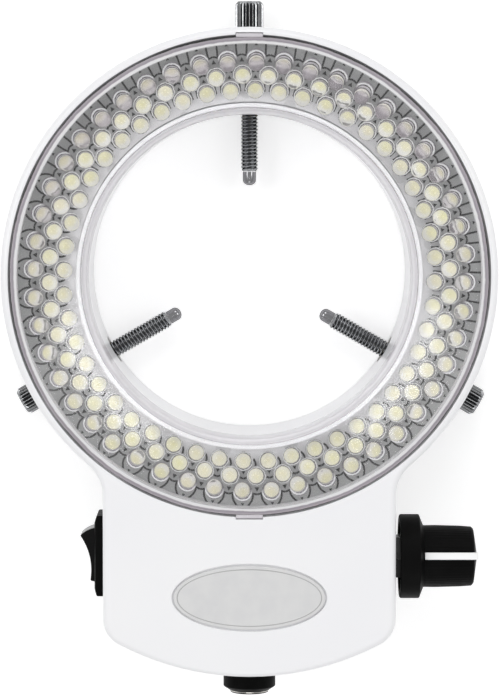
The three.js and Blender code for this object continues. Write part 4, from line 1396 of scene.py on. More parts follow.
@dataclass(frozen=True)
class Badge:
    """The oval plate on the box front, left bare, with a fine line inside its rim."""

    levels: Levels
    width: float = 29.4
    height: float = 12.5
    thickness: float = 0.6
    recess: float = 0.5
    edge: float = 0.18
    recess_edge: float = 0.15
    line_inset: float = 0.62
    line_width: float = 0.2
    line_depth: float = 0.04
    edge_steps: int = 3
    steps: int = 120

    def oval(self, margin: float) -> list[Pair]:
        """The plate's outline with a margin round it."""
        turns = [2 * math.pi * step / self.steps for step in range(self.steps)]
        across, along = self.width / 2 + margin, self.height / 2 + margin
        return [(across * math.cos(turn), self.levels.badge_y + along * math.sin(turn)) for turn in turns]

    def pocket(self) -> Form:
        """The tool that cuts the plate's recess."""
        front, rim = self.levels.front, self.recess_edge
        sections = [(GAP, front - self.recess), (GAP, front - rim)]
        sections += [(GAP + rim, front), (GAP + rim, front + SHORT_OVERRUN)]
        return self.lofted(sections)

    def lofted(self, sections: Sequence[Pair]) -> Form:
        """A form through ovals, each with a margin and a height."""
        return loft([[(x, y, height) for x, y in self.oval(margin)] for margin, height in sections])

    def build(self, finish: Material, line: Material) -> None:
        """Makes and places the plate.

        Args:
            finish: the plate's material.
            line: the material of the fine line.
        """
        bottom = self.levels.front - self.recess
        top = bottom + self.thickness
        inner = self.line_inset + self.line_width
        sections = [(-SLIP, bottom), (0, bottom + SLIP), (0, top - self.edge)]
        rim = quarter(self.edge, self.edge_steps)[1:]
        sections += [(-inset, top - self.edge + rise) for inset, rise in rim]
        line_start = len(sections)
        sections += [
            (-self.line_inset, top), (-self.line_inset - self.line_depth, top - self.line_depth),
            (-inner + self.line_depth, top - self.line_depth), (-inner, top),
        ]
        form = self.lofted(sections)
        mesh = bpy.data.meshes.new("badge")
        mesh.from_pydata([tuple(point) for point in form.points], [], form.faces)
        first = line_start * self.steps
        last = (len(sections) - 1) * self.steps
        for number, polygon in enumerate(mesh.polygons):
            polygon.material_index = 1 if first <= number < last else 0
        dress("badge_plate", outward(mesh), [finish, line], "badge_grey")


@dataclass(frozen=True)
class Housing:
    """The white shell: front housing and rear cover."""

    levels: Levels
    outline: ShellOutline
    screws: RearScrews
    badge: Badge
    front_wall: float = 2.0
    edge: float = 1.3
    seam_edge: float = 0.18
    lip_edge: float = 0.2
    bore_edge: float = 0.4
    ledge: float = 1.3
    tab_half: float = 2.35
    tab_end: float = 46.6
    switch_half_length: float = 6.45
    switch_half_width: float = 4.2
    slot_x: float = 3.0
    slot_y: float = -39.95
    slot_half: Pair = (2.5, 1.5)
    collar_radius: float = 37.5
    collar_edge: float = 0.8
    lip_width: float = 1.2
    lip_height: float = 1.5
    clamp_hole: float = 2.95
    post_sink: float = 0.8
    recess_edge: float = 0.2
    boss_radius: float = 2.2
    peg_radius: float = 0.9
    peg_edge: float = 0.2
    edge_steps: int = 6
    lip_edge_steps: int = 3
    post_sides: int = 32
    hole_sides: int = 24
    recess_sides: int = 40
    inlet_sides: int = 48
    smooth: float = 28
    board_under: float = 13.1
    peg_top: float = 15.2
    pegs: tuple[Pair, ...] = ((-7.4, -61.9), (13.4, -61.9), (-7.4, -53.1), (13.4, -53.1))

    def shell(self, bottom: float, top: float, bottom_edge: float, top_edge: float) -> Form:
        """The outline as a solid with rounded rims.

        Args:
            bottom: the lower level.
            top: the upper level.
            bottom_edge: rounding of the lower rim.
            top_edge: rounding of the upper rim.

        Returns:
            The closed form.
        """
        lower = reversed(quarter(bottom_edge, self.edge_steps))
        rise = [(inset, bottom + bottom_edge - height) for inset, height in lower]
        fall = [(inset, top - top_edge + height) for inset, height in quarter(top_edge, self.edge_steps)]
        return loft([[(x, y, height) for x, y in self.outline.drawn(inset)] for inset, height in rise + fall])

    def front(self, finish: Material) -> None:
        """Makes and places the front housing.

        Args:
            finish: the shell's material.
        """
        at = self.levels
        steps = at.round_steps
        work = Workpiece(self.shell(at.seam, at.front, self.seam_edge, self.edge))
        over = at.front + OVERRUN
        lip_foot = at.front - self.lip_edge
        rim = [(at.lip + out, lip_foot + rise) for out, rise in quarter(self.lip_edge, self.lip_edge_steps)]
        work.cut(
            lathe([(at.tube_outer, at.board_seat), (at.lip, at.board_seat), *rim,
                   (at.lip + self.lip_edge, over), (at.tube_outer, over)], steps, closed=True),
            tube(at.tube_outer + self.ledge, at.lip - self.ledge, at.floor_top,
                 at.board_seat + OVERRUN, steps),
            cylinder(at.bore, 0, over, steps),
            cylinder(at.bore + at.pane_wall + GAP, at.board_top - GAP, over, steps),
            cylinder(at.tube_outer + GAP, at.pane_under - GAP, over, steps),
        )
        ceiling = at.front - self.front_wall
        for radius, top in ((at.tube_outer, at.floor_bottom), (self.outline.ring_radius, ceiling)):
            room = Workpiece(self.outline.walls(at.wall, 0, top))
            work.cut(form_of(room.cut(cylinder(radius, -SHORT_OVERRUN, at.front, steps))))
        screws = self.screws
        on_ring = len(screws.ring_directions)
        for number, (x, y) in enumerate(screws.places()):
            top = at.floor_bottom + self.post_sink if number < on_ring else at.front - self.front_wall / 2
            work.add(cylinder(screws.post_radius, at.seam, top, self.post_sides).at(x, y))
        for x, y in screws.places():
            depth = screws.head_recess + screws.length + GAP - (at.seam - at.collar)
            work.cut(cylinder(screws.shank_radius + GAP, 0, at.seam + depth, self.hole_sides).at(x, y))
        work.cut(*self.openings())
        dress("front_housing", work.mesh, [finish], "white_shell", smooth=self.smooth)

    def openings(self) -> list[Form]:
        """The tools that cut the openings for the controls, the tabs, the badge and the leads."""
        at = self.levels
        side, end = at.side_wall, at.end_wall
        inner = side - at.wall
        length = self.switch_half_length + GAP
        width = self.switch_half_width + GAP
        bush = cylinder(at.bush + GAP, inner - GAP, side + OVERRUN, self.recess_sides)
        inlet = cylinder(at.inlet + GAP, end - at.wall - OVERRUN, end + OVERRUN, self.inlet_sides)
        slot_x, slot_y = self.slot_half
        tools = [
            block(-side - OVERRUN, GAP - inner, at.rocker_y - length, at.rocker_y + length,
                  at.control - width, at.control + width),
            bush.moved(Direction.TOWARDS_X.value).at(0, at.dimmer_y, at.control),
            inlet.moved(Direction.TOWARDS_MINUS_Y.value).at(0, 0, at.control),
            self.badge.pocket(),
            block(self.slot_x - slot_x, self.slot_x + slot_x, self.slot_y - slot_y, self.slot_y + slot_y,
                  at.floor_bottom - GAP, at.floor_top + GAP),
        ]
        half = self.tab_half + GAP
        for sign in (-1, 1):
            near, far = sorted((sign * at.board_outer, sign * (self.tab_end + GAP)))
            tools.append(block(-half, half, near, far, at.front - at.tab_depth - GAP, at.front + OVERRUN))
        return tools

    def cover(self, finish: Material) -> None:
        """Makes and places the rear cover.

        Args:
            finish: the shell's material.
        """
        at = self.levels
        steps = at.round_steps
        work = Workpiece(self.shell(at.collar, at.seam, self.edge, self.seam_edge))
        lip_inset = at.wall + GAP
        lip = Workpiece(self.outline.walls(lip_inset, at.seam - SLIP, at.seam + self.lip_height))
        lip.cut(self.outline.walls(lip_inset + self.lip_width, 0, at.seam + self.lip_height + OVERRUN))
        work.add(form_of(lip))
        rim = [(self.collar_radius - inset, self.collar_edge - height)
               for inset, height in reversed(quarter(self.collar_edge, self.edge_steps))]
        work.add(lathe([(0, 0), *rim, (self.collar_radius, at.collar + SLIP), (0, at.collar + SLIP)], steps))
        flare = at.bore + self.bore_edge
        work.cut(lathe([(0, -SHORT_OVERRUN), (flare + SHORT_OVERRUN, -SHORT_OVERRUN), (flare, 0),
                        (at.bore, self.bore_edge), (at.bore, at.front), (0, at.front)], steps))
        low = at.seam - SLIP
        for x, y in self.pegs:
            work.add(cylinder(self.boss_radius, low, self.board_under, self.post_sides).at(x, y))
            work.add(rounded_bar(self.peg_radius, low, self.peg_top, self.peg_edge, self.hole_sides).at(x, y))
        screws, edge = self.screws, self.recess_edge
        recess, floor = screws.head_radius + GAP, at.collar + screws.head_recess
        for x, y in screws.places():
            work.cut(
                cylinder(screws.shank_radius + GAP, 0, at.seam + OVERRUN, self.hole_sides).at(x, y),
                lathe([(0, 0), (recess + edge, 0), (recess + edge, at.collar), (recess, at.collar + edge),
                       (recess, floor), (0, floor)], self.recess_sides).at(x, y),
            )
        hole = cylinder(self.clamp_hole, at.bore - OVERRUN, self.collar_radius + OVERRUN, self.recess_sides)
        for _, direction, _ in CLAMPS:
            work.cut(hole.moved(Direction.TOWARDS_X.value).at(0, 0, at.clamp).moved(about_axis(direction)))
        dress("rear_cover", work.mesh, [finish], "white_shell", smooth=self.smooth)


def form_of(work: Workpiece) -> Form:
    """A workpiece's mesh as a form, so that it can be used as a tool."""
    points = [vertex.co.copy() for vertex in work.mesh.vertices]
    return Form(points, [tuple(face.vertices) for face in work.mesh.polygons])


@dataclass(frozen=True)
class ClearWindow:
    """The clear front window with its two walls and two tabs."""

    levels: Levels
    edge: float = 0.4
    inner_edge: float = 0.2
    tab_half: float = 2.6
    tab_root: float = 0.2
    tab_reach: float = 0.55
    tab_edge: float = 0.15
    edge_steps: int = 4
    smooth: float = 30

    def build(self, finish: Material, tab_finish: Material) -> None:
        """Makes and places the window.

        Args:
            finish: the clear material.
            tab_finish: the tabs' milky material.
        """
        at = self.levels
        outer, fillet = at.board_outer, self.inner_edge
        inside, outside = at.bore + at.pane_wall, outer - at.pane_wall
        foot = at.front - self.edge
        turns = quarter(self.edge, self.edge_steps)
        work = Workpiece(lathe([
            (at.bore, at.board_top),
            (inside, at.board_top),
            (inside, at.pane_under - fillet),
            (inside + fillet, at.pane_under),
            (outside - fillet, at.pane_under),
            (outside, at.pane_under - fillet),
            (outside, at.board_top + GAP),
            (outer, at.board_top + GAP),
            *[(outer - inset, foot + height) for inset, height in turns],
            *[(at.bore + inset, foot + height) for inset, height in reversed(turns)],
        ], at.round_steps, closed=True))
        tabs = []
        for side in (-1, 1):
            near, far = sorted((side * (outer - self.tab_root), side * (outer + self.tab_reach)))
            low = at.front - at.tab_depth
            work.cut(block(-self.tab_half, self.tab_half, near, far, low, at.front + OVERRUN))
            tab = Workpiece(block(-self.tab_half, self.tab_half, near, far, low, at.front - SLIP / 2))
            tabs.append(tab.bevelled(self.tab_edge).mesh)
        for mesh in tabs:
            for polygon in mesh.polygons:
                polygon.material_index = 1
        mesh = joined([work.mesh, *tabs])
        dress("clear_window", mesh, [finish, tab_finish], "clear_window", smooth=self.smooth)


# Board and LEDs

@dataclass(frozen=True)
class LedRow:
    """One ring of LEDs."""

    name: str
    radius: float
    lean: float
    swing: float
    uneven_lean: float
    phase: float
    milky: bool


@dataclass(frozen=True)
class LedRing:
    """The LED board with its printing, and its three rows of LEDs."""

    levels: Levels
    rows: tuple[LedRow, ...] = (
        LedRow("inner", 36.3, 7.5, 1.5, 1.8, -0.23, False),
        LedRow("middle", 39.2, 7.5, 4, 2.2, 0.27, False),
        LedRow("outer", 42.3, 14, 11, 3.6, -0.23, True),
    )
    per_row: int = 48
    radius: float = 1.5
    flange_radius: float = 1.9
    flange_height: float = 0.95
    flange_edge: float = 0.08
    length: float = 4.95
    sides: int = 16
    dome_steps: int = 5
    cup_level: float = 2.05
    cup_radius: float = 0.55
    cup_depth: float = 0.45
    cup_foot: float = 0.38
    cup_base: float = 0.25
    cup_wall: float = 0.1
    cup_taper: float = 0.16
    cup_floor: float = 0.05
    cup_sides: int = 12
    disc_gap: float = 0.06
    disc_depth_share: float = 0.6
    disc_taper: float = 0.18
    disc_rim: float = 0.04
    disc_shoulder_share: float = 0.6
    disc_shoulder: float = 0.06
    disc_crown: float = 0.1
    post_half: float = 0.25
    post_spread: float = 0.7
    post_foot: float = 1.2
    post_gap: float = 0.1
    solder_dome: tuple[Pair, ...] = ((0, -0.01), (0.55, -0.01), (0.45, 0.12), (0.25, 0.28), (0, 0.32))
    solder_sides: int = 8
    mark_width: float = 0.38
    mark_height: float = 0.03
    inner_diode: Triple = (2.0, 0.38, 0.7)
    middle_diode: Triple = (2.3, 0.46, 0.85)
    outer_diode: Triple = (2.3, 0.34, 0.55)
    strokes: tuple[tuple[Pair, ...], ...] = (((-0.6, 1.85), (0.9, 1.8)), ((0.9, -1.8), (-0.6, -1.85)))
    hook: tuple[Pair, ...] = ((-0.45, 1.88), (0.05, 2.2), (0.6, 2.36), (1.35, 2.25))
    knee: Pair = (0.28, 1.95)
    knee_rise: float = 0.22
    knee_share: float = 0.7
    straight_gate: tuple[Pair, ...] = ((3.55, 1.85), (2.2, 1.88), (1.2, 1.87), (0.6, 1.9))
    round_gate: tuple[Pair, ...] = (
        (3.4, 0.62), (3.2, 0.9), (2.8, 1.1), (2.4, 1.42), (1.8, 1.78), (1.2, 1.96), (0.6, 1.98),
    )
    swing_centre: float = 65
    uneven_place: float = 0.12
    seed: int = 4
    board_edge: float = 0.08

    def body(self) -> Form:
        """The clear body of one LED with its flange and dome."""
        dome = self.length - self.radius
        turns = [math.pi / 2 * step / self.dome_steps for step in range(self.dome_steps)]
        return lathe([
            (0, 0),
            (self.flange_radius, 0),
            (self.flange_radius, self.flange_height),
            (self.radius, self.flange_height + self.flange_edge),
            *[(self.radius * math.cos(turn), dome + self.radius * math.sin(turn)) for turn in turns],
            (0, self.length),
        ], self.sides)

    def phosphor(self) -> Form:
        """The yellow filling of the cup, slightly crowned."""
        level, radius = self.cup_level, self.cup_radius - self.disc_gap
        low = level - self.cup_depth * self.disc_depth_share
        return lathe([
            (0, low),
            (radius - self.disc_taper, low),
            (radius, level - self.disc_rim),
            (radius * self.disc_shoulder_share, level + self.disc_shoulder),
            (0, level + self.disc_crown),
        ], self.cup_sides)

    def frame(self) -> Form:
        """The reflector cup and the two leads that carry it."""
        level = self.cup_level
        low = level - self.cup_depth
        base, floor = low - self.cup_base, low + self.cup_floor
        cup = lathe([
            (0, base),
            (self.cup_foot, base),
            (self.cup_radius + self.cup_wall, level),
            (self.cup_radius, level),
            (self.cup_radius - self.cup_taper, floor),
            (0, floor),
        ], self.cup_sides)
        half, top = self.post_half, low - self.post_gap
        for side in (-1, 1):
            middle = side * self.post_spread
            cup = cup.with_form(block(-half, half, middle - half, middle + half, -self.post_foot, top))
        return cup

    def solder(self) -> Form:
        """Two small domes of solder where the leads meet the board."""
        dome = lathe(self.solder_dome, self.solder_sides)
        return dome.at(0, -self.post_spread).with_form(dome.at(0, self.post_spread))

    def build(self, copies: RingOfCopies, use: Finishes) -> None:
        """Makes and places the board, its printing and the LEDs.

        Args:
            copies: the tree that sets copies out on a ring.
            use: the lamp's finishes.
        """
        at = self.levels
        edge = self.board_edge
        board = lathe([
            (at.board_inner, at.board_seat + edge), (at.board_inner + edge, at.board_seat),
            (at.board_outer - edge, at.board_seat), (at.board_outer, at.board_seat + edge),
            (at.board_outer, at.board_top - edge), (at.board_outer - edge, at.board_top),
            (at.board_inner + edge, at.board_top), (at.board_inner, at.board_top - edge),
        ], at.round_steps, closed=True)
        dress("led_board", board.mesh(), [use.board], "led_board")
        for row in self.rows:
            self.build_row(row, copies, use)

    def build_row(self, row: LedRow, copies: RingOfCopies, use: Finishes) -> None:
        """Makes and places one row of LEDs with its printing.

        Args:
            row: the row.
            copies: the tree that sets copies out on a ring.
            use: the lamp's finishes.
        """
        at = self.levels
        lean = math.radians(row.lean)
        phase = row.phase * 2 * math.pi / self.per_row
        common = {
            "Count": self.per_row, "Phase": phase, "Radius": row.radius, "Seed": self.seed,
            "Swing_Centre": math.radians(self.swing_centre),
        }
        stand = {
            **common, "Level": at.board_top + SLIP, "Foot": self.flange_radius, "Lean": lean,
            "Swing": math.radians(row.swing),
            "Uneven_Place": self.uneven_place, "Uneven_Lean": math.radians(row.uneven_lean),
        }
        flat = {**common, "Level": at.board_top}
        epoxy = use.milky_epoxy if row.milky else use.epoxy
        bodies = copies.of(self.body(), Material=epoxy, **stand)
        place(f"led_bodies_{row.name}", bodies, [epoxy], "led_epoxy", [f"led_row_{row.name}"])
        frames = copies.of(self.frame(), Material=use.lead_frame, **stand)
        place(f"led_frames_{row.name}", frames, [use.lead_frame], "led_epoxy")
        discs = copies.of(self.phosphor(), Material=use.phosphor, **stand)
        place(f"led_phosphor_{row.name}", discs, [use.phosphor], "led_epoxy")
        solder = copies.of(self.solder(), Material=use.solder, **flat)
        place(f"board_solder_{row.name}", solder, [use.solder], "led_board")
        marks = [copies.of(form, Material=use.ink, Side=side, **flat) for form, side in self.marks(row)]
        place(f"board_marks_{row.name}", joined(marks), [use.ink], "led_board")

    def ribbon(self, points: Sequence[Pair]) -> Form:
        """A thin raised line along a path.

        Args:
            points: the path.

        Returns:
            The line as a closed form on the board.
        """
        sides: list[list[Pair]] = [[], []]
        for number, (x, y) in enumerate(points):
            before = points[max(number - 1, 0)]
            after = points[min(number + 1, len(points) - 1)]
            along = Vector((after[0] - before[0], after[1] - before[1])).normalized()
            for side, sign in enumerate((1, -1)):
                reach = sign * self.mark_width / 2
                sides[side].append((x - along.y * reach, y + along.x * reach))
        return prism(sides[0] + sides[1][::-1], -PRINT_SINK, self.mark_height)

    def marks(self, row: LedRow) -> list[tuple[Form, float]]:
        """The printing round one LED, flat on the board, with +X outwards.

        Args:
            row: the row that the LED is in.

        Returns:
            Pairs of a form and the side of the ring that has it, 0 for both.
        """
        if row.name == "outer":
            triangle = self.diode(*self.outer_diode)
            gates = ((self.straight_gate, 1.0), (self.round_gate, -1.0))
            return [(triangle.with_form(self.gate(row.radius, path)), side) for path, side in gates]
        if row.name == "middle":
            return [(self.diode(*self.middle_diode).with_form(self.gate(row.radius, ())), 0)]
        triangle = self.diode(*self.inner_diode)
        first, second = (self.ribbon(stroke) for stroke in self.strokes)
        hook = self.ribbon(self.hook)
        return [(triangle.with_form(first.with_form(second)), 1.0), (triangle.with_form(hook), -1.0)]

    def diode(self, start: float, half: float, length: float) -> Form:
        """A small filled triangle that points outwards."""
        return prism([(start, -half), (start + length, 0), (start, half)], -PRINT_SINK, self.mark_height)

    def gate(self, row_radius: float, path: Sequence[Pair]) -> Form:
        """The line beside an LED on both sides, which bends and meets that of its neighbour.

        Args:
            row_radius: the row's radius on the board.
            path: the line's part beside the LED, from its outer end.

        Returns:
            The two lines.
        """
        knee, half = self.knee
        between = math.pi * (row_radius + knee) / self.per_row
        middle = (knee + self.knee_rise * self.knee_share, (half + between) / 2)
        line = [*path, self.knee, middle, (knee + self.knee_rise, between)]
        mirrored = [(x, -y) for x, y in reversed(line)]
        return self.ribbon(line).with_form(self.ribbon(mirrored))


# Screws

@dataclass(frozen=True)
class ClampScrew:
    """One of the three thumb screws that hold the lamp on the objective."""

    levels: Levels
    name: str
    direction: float
    nose_end: float
    nose_radius: float = 1.3
    nose_length: float = 2.8
    nose_flatness: float = 0.8
    nose_steps: int = 6
    nose_sides: int = 32
    thread_radius: float = 1.75
    thread_depth: float = 0.42
    thread_edge: float = 0.45
    thread_sides: int = 24
    steps_per_pitch: int = 6
    pitch: float = 0.7
    stud_overlap: float = 0.5
    head_radius: float = 2.8
    head_length: float = 8.0
    head_edge: float = 0.6
    head_steps: int = 40
    length: float = 36.5
    ridges: int = 24
    ridge_depth: float = 0.45
    steps_per_ridge: int = 6
    insert_inner: float = 2.1
    insert_outer: float = 2.64
    insert_start: float = 31.85
    insert_end: float = 36.9
    insert_edge: float = 0.15
    insert_mouth: float = 0.2
    insert_sides: int = 48
    band_end: float = 1.9
    groove_start: float = 2.1
    groove_depth: float = 0.2
    smooth: float = 42

    def laid(self, start: float) -> Matrix:
        """Lays a shape that stands along Z on the screw's own line.

        Args:
            start: how far from the lamp's axis the shape's foot comes to lie.

        Returns:
            The matrix.
        """
        place_on_x = Matrix.Translation((start, 0, self.levels.clamp)) @ Direction.TOWARDS_X.value
        return about_axis(self.direction) @ place_on_x

    def build(self, thread: Thread, knurl: Knurl, use: Finishes) -> None:
        """Makes and places the screw, its nose and its insert.

        Args:
            thread: the tree that makes threads.
            knurl: the tree that makes ridged bars.
            use: the lamp's finishes.
        """
        self.build_screw(thread, knurl, use)
        self.build_nose(use)
        self.build_insert(use)

    def build_screw(self, thread: Thread, knurl: Knurl, use: Finishes) -> None:
        """Makes and places the threaded stud with its ridged head."""
        head_start = self.length - self.head_length
        stud_length = head_start - self.nose_length + self.stud_overlap
        stud = thread.made(
            Length=stud_length, Radius=self.thread_radius, End_Radius=self.thread_radius,
            Depth=self.thread_depth, Edge=self.thread_edge, Sides=self.thread_sides,
            Steps=round(stud_length / self.pitch * self.steps_per_pitch),
            Pitch=self.pitch, Material=use.chrome,
        )
        stud.transform(Matrix.Translation((0, 0, self.nose_length)))
        head = knurl.made(
            Length=self.head_length, Radius=self.head_radius, End_Radius=self.head_radius,
            Depth=self.ridge_depth, Edge=self.head_edge, Sides=self.ridges * self.steps_per_ridge,
            Steps=self.head_steps, Ridges=float(self.ridges), Material=use.chrome,
        )
        head.transform(Matrix.Translation((0, 0, head_start)))
        screw = joined([stud, head])
        screw.transform(self.laid(self.nose_end))
        name, body = f"clamp_screw_{self.name}", f"screw_{self.name}"
        dress(name, screw, [use.chrome], "screw_chrome", body=body, smooth=self.smooth)

    def build_nose(self, use: Finishes) -> None:
        """Makes and places the smooth round nose."""
        turns = [math.pi / 2 * step / self.nose_steps for step in range(1, self.nose_steps + 1)]
        rise = self.nose_radius * self.nose_flatness
        nose = lathe([
            (0, 0),
            *[(self.nose_radius * math.sin(turn), rise * (1 - math.cos(turn))) for turn in turns],
            (self.nose_radius, self.nose_length - SLIP),
            (0, self.nose_length - SLIP),
        ], self.nose_sides)
        name, body = f"clamp_screw_nose_{self.name}", f"screw_nose_{self.name}"
        dress(name, nose.moved(self.laid(self.nose_end)).mesh(), [use.nose], "screw_chrome", body=body)

    def build_insert(self, use: Finishes) -> None:
        """Makes and places the brass insert, which has a groove round its middle."""
        inner, outer = self.insert_inner, self.insert_outer
        start, end = self.insert_start, self.insert_end
        mouth, groove = inner + self.insert_mouth, outer - self.groove_depth
        insert = lathe([
            (mouth, start), (outer - self.insert_edge, start),
            (outer, start + self.insert_edge), (outer, start + self.band_end),
            (groove, start + self.groove_start), (groove, end - self.groove_start),
            (outer, end - self.band_end), (outer, end - self.insert_edge),
            (outer - self.insert_edge, end), (mouth, end),
            (inner, end - self.insert_mouth), (inner, start + self.insert_mouth),
        ], self.insert_sides, closed=True).mesh()
        insert.transform(self.laid(0))
        dress(f"clamp_insert_{self.name}", insert, [use.brass], "insert_brass")


# Controls

@dataclass(frozen=True)
class RockerSwitch:
    """The rocker switch on the left wall."""

    levels: Levels
    bezel_length: float = 15.8
    bezel_width: float = 10.5
    bezel_height: float = 1.8
    bevel: float = 1.35
    bevel_run: float = 1.5
    body_length: float = 12.9
    body_width: float = 8.4
    body_depth: float = 12.4
    radius: float = 5.4
    width: float = 6.4
    pivot_depth: float = 1.0
    dish: float = 0.9
    tip: float = 33
    foot: float = 20
    tilt: float = 12.5
    axle: float = 0.6
    axle_reach: float = 0.45
    axle_sides: int = 20
    hole_sides: int = 24
    bezel_edge: float = 0.22
    bezel_sharp: float = 25
    body_overlap: float = 0.2
    rocker_edge: float = 0.2
    rocker_sharp: float = 30
    rocker_edge_steps: int = 3
    arc_steps: int = 10
    dish_steps: int = 16

    def place_matrix(self) -> Matrix:
        """Moves a shape from the wall's own origin to the switch."""
        return Matrix.Translation((0, self.levels.rocker_y, self.levels.control))

    def pivot_x(self) -> float:
        """Where the rocker's axle lies across the lamp."""
        return self.pivot_depth - self.levels.side_wall - self.bezel_height

    def build(self, use: Finishes) -> None:
        """Makes and places the switch.

        Args:
            use: the lamp's finishes.
        """
        self.build_body(use)
        self.build_rocker(use)

    def build_body(self, use: Finishes) -> None:
        """Makes and places the bezel and the box behind it."""
        wall = -self.levels.side_wall
        outside = wall - self.bezel_height
        half = self.bezel_width / 2
        slope = outside + self.bezel_height - self.bevel

        def bevelled(length: float) -> list[Pair]:
            """The bezel's section along one of its two directions."""
            return [
                (wall, -length), (wall, length), (slope, length), (outside, length - self.bevel_run),
                (outside, self.bevel_run - length), (slope, -length),
            ]

        bezel = Workpiece(prism(bevelled(self.bezel_length / 2), -half, half))
        across = prism(bevelled(half + self.bevel_run / 2), -self.bezel_length / 2, self.bezel_length / 2)
        bezel.combine(across.moved(Direction.TOWARDS_MINUS_Y.value), Combination.SHARE)
        bezel.bevelled(self.bezel_edge, angle=self.bezel_sharp)
        pivot = self.pivot_x()
        swing = self.radius + GAP
        side = self.width / 2 + GAP
        bezel.add(block(wall - self.body_overlap, wall + self.body_depth, -self.body_length / 2,
                        self.body_length / 2, -self.body_width / 2, self.body_width / 2))
        bezel.cut(block(outside - OVERRUN, pivot + swing, -swing, swing, -side, side))
        reach = side + self.axle_reach
        bezel.cut(cylinder(self.axle + GAP, -reach, reach, self.hole_sides).at(pivot))
        bezel.mesh.transform(self.place_matrix())
        dress("switch_body", bezel.mesh, [use.black], "black_plastic")

    def build_rocker(self, use: Finishes) -> None:
        """Makes and places the rocker, tipped to its first resting place."""
        tip, foot = math.radians(self.tip), math.radians(self.foot)
        across = self.radius * math.cos(tip)

        def arc(start: float) -> list[Pair]:
            """One of the rocker's two round sides."""
            turns = [start + (tip + foot) * step / self.arc_steps for step in range(self.arc_steps + 1)]
            return [(self.radius * math.cos(turn), self.radius * math.sin(turn)) for turn in turns]

        outline = arc(math.pi / 2 - foot)
        for step in range(1, self.dish_steps):
            along = 1 - 2 * step / self.dish_steps
            height = self.radius * math.sin(tip) - self.dish * (1 - along ** 2)
            outline.append((-height, along * across))
        outline += arc(1.5 * math.pi - tip)
        half = self.width / 2
        work = Workpiece(prism(outline, -half, half))
        work.bevelled(self.rocker_edge, self.rocker_edge_steps, self.rocker_sharp)
        reach = half + self.axle_reach
        work.add(cylinder(self.axle, -reach, reach, self.axle_sides))
        pivot = Matrix.Translation((self.pivot_x(), 0, 0))
        work.mesh.transform(self.place_matrix() @ pivot @ about_axis(self.tilt))
        dress("switch_rocker", work.mesh, [use.gloss_black], "rocker_black", body="rocker")


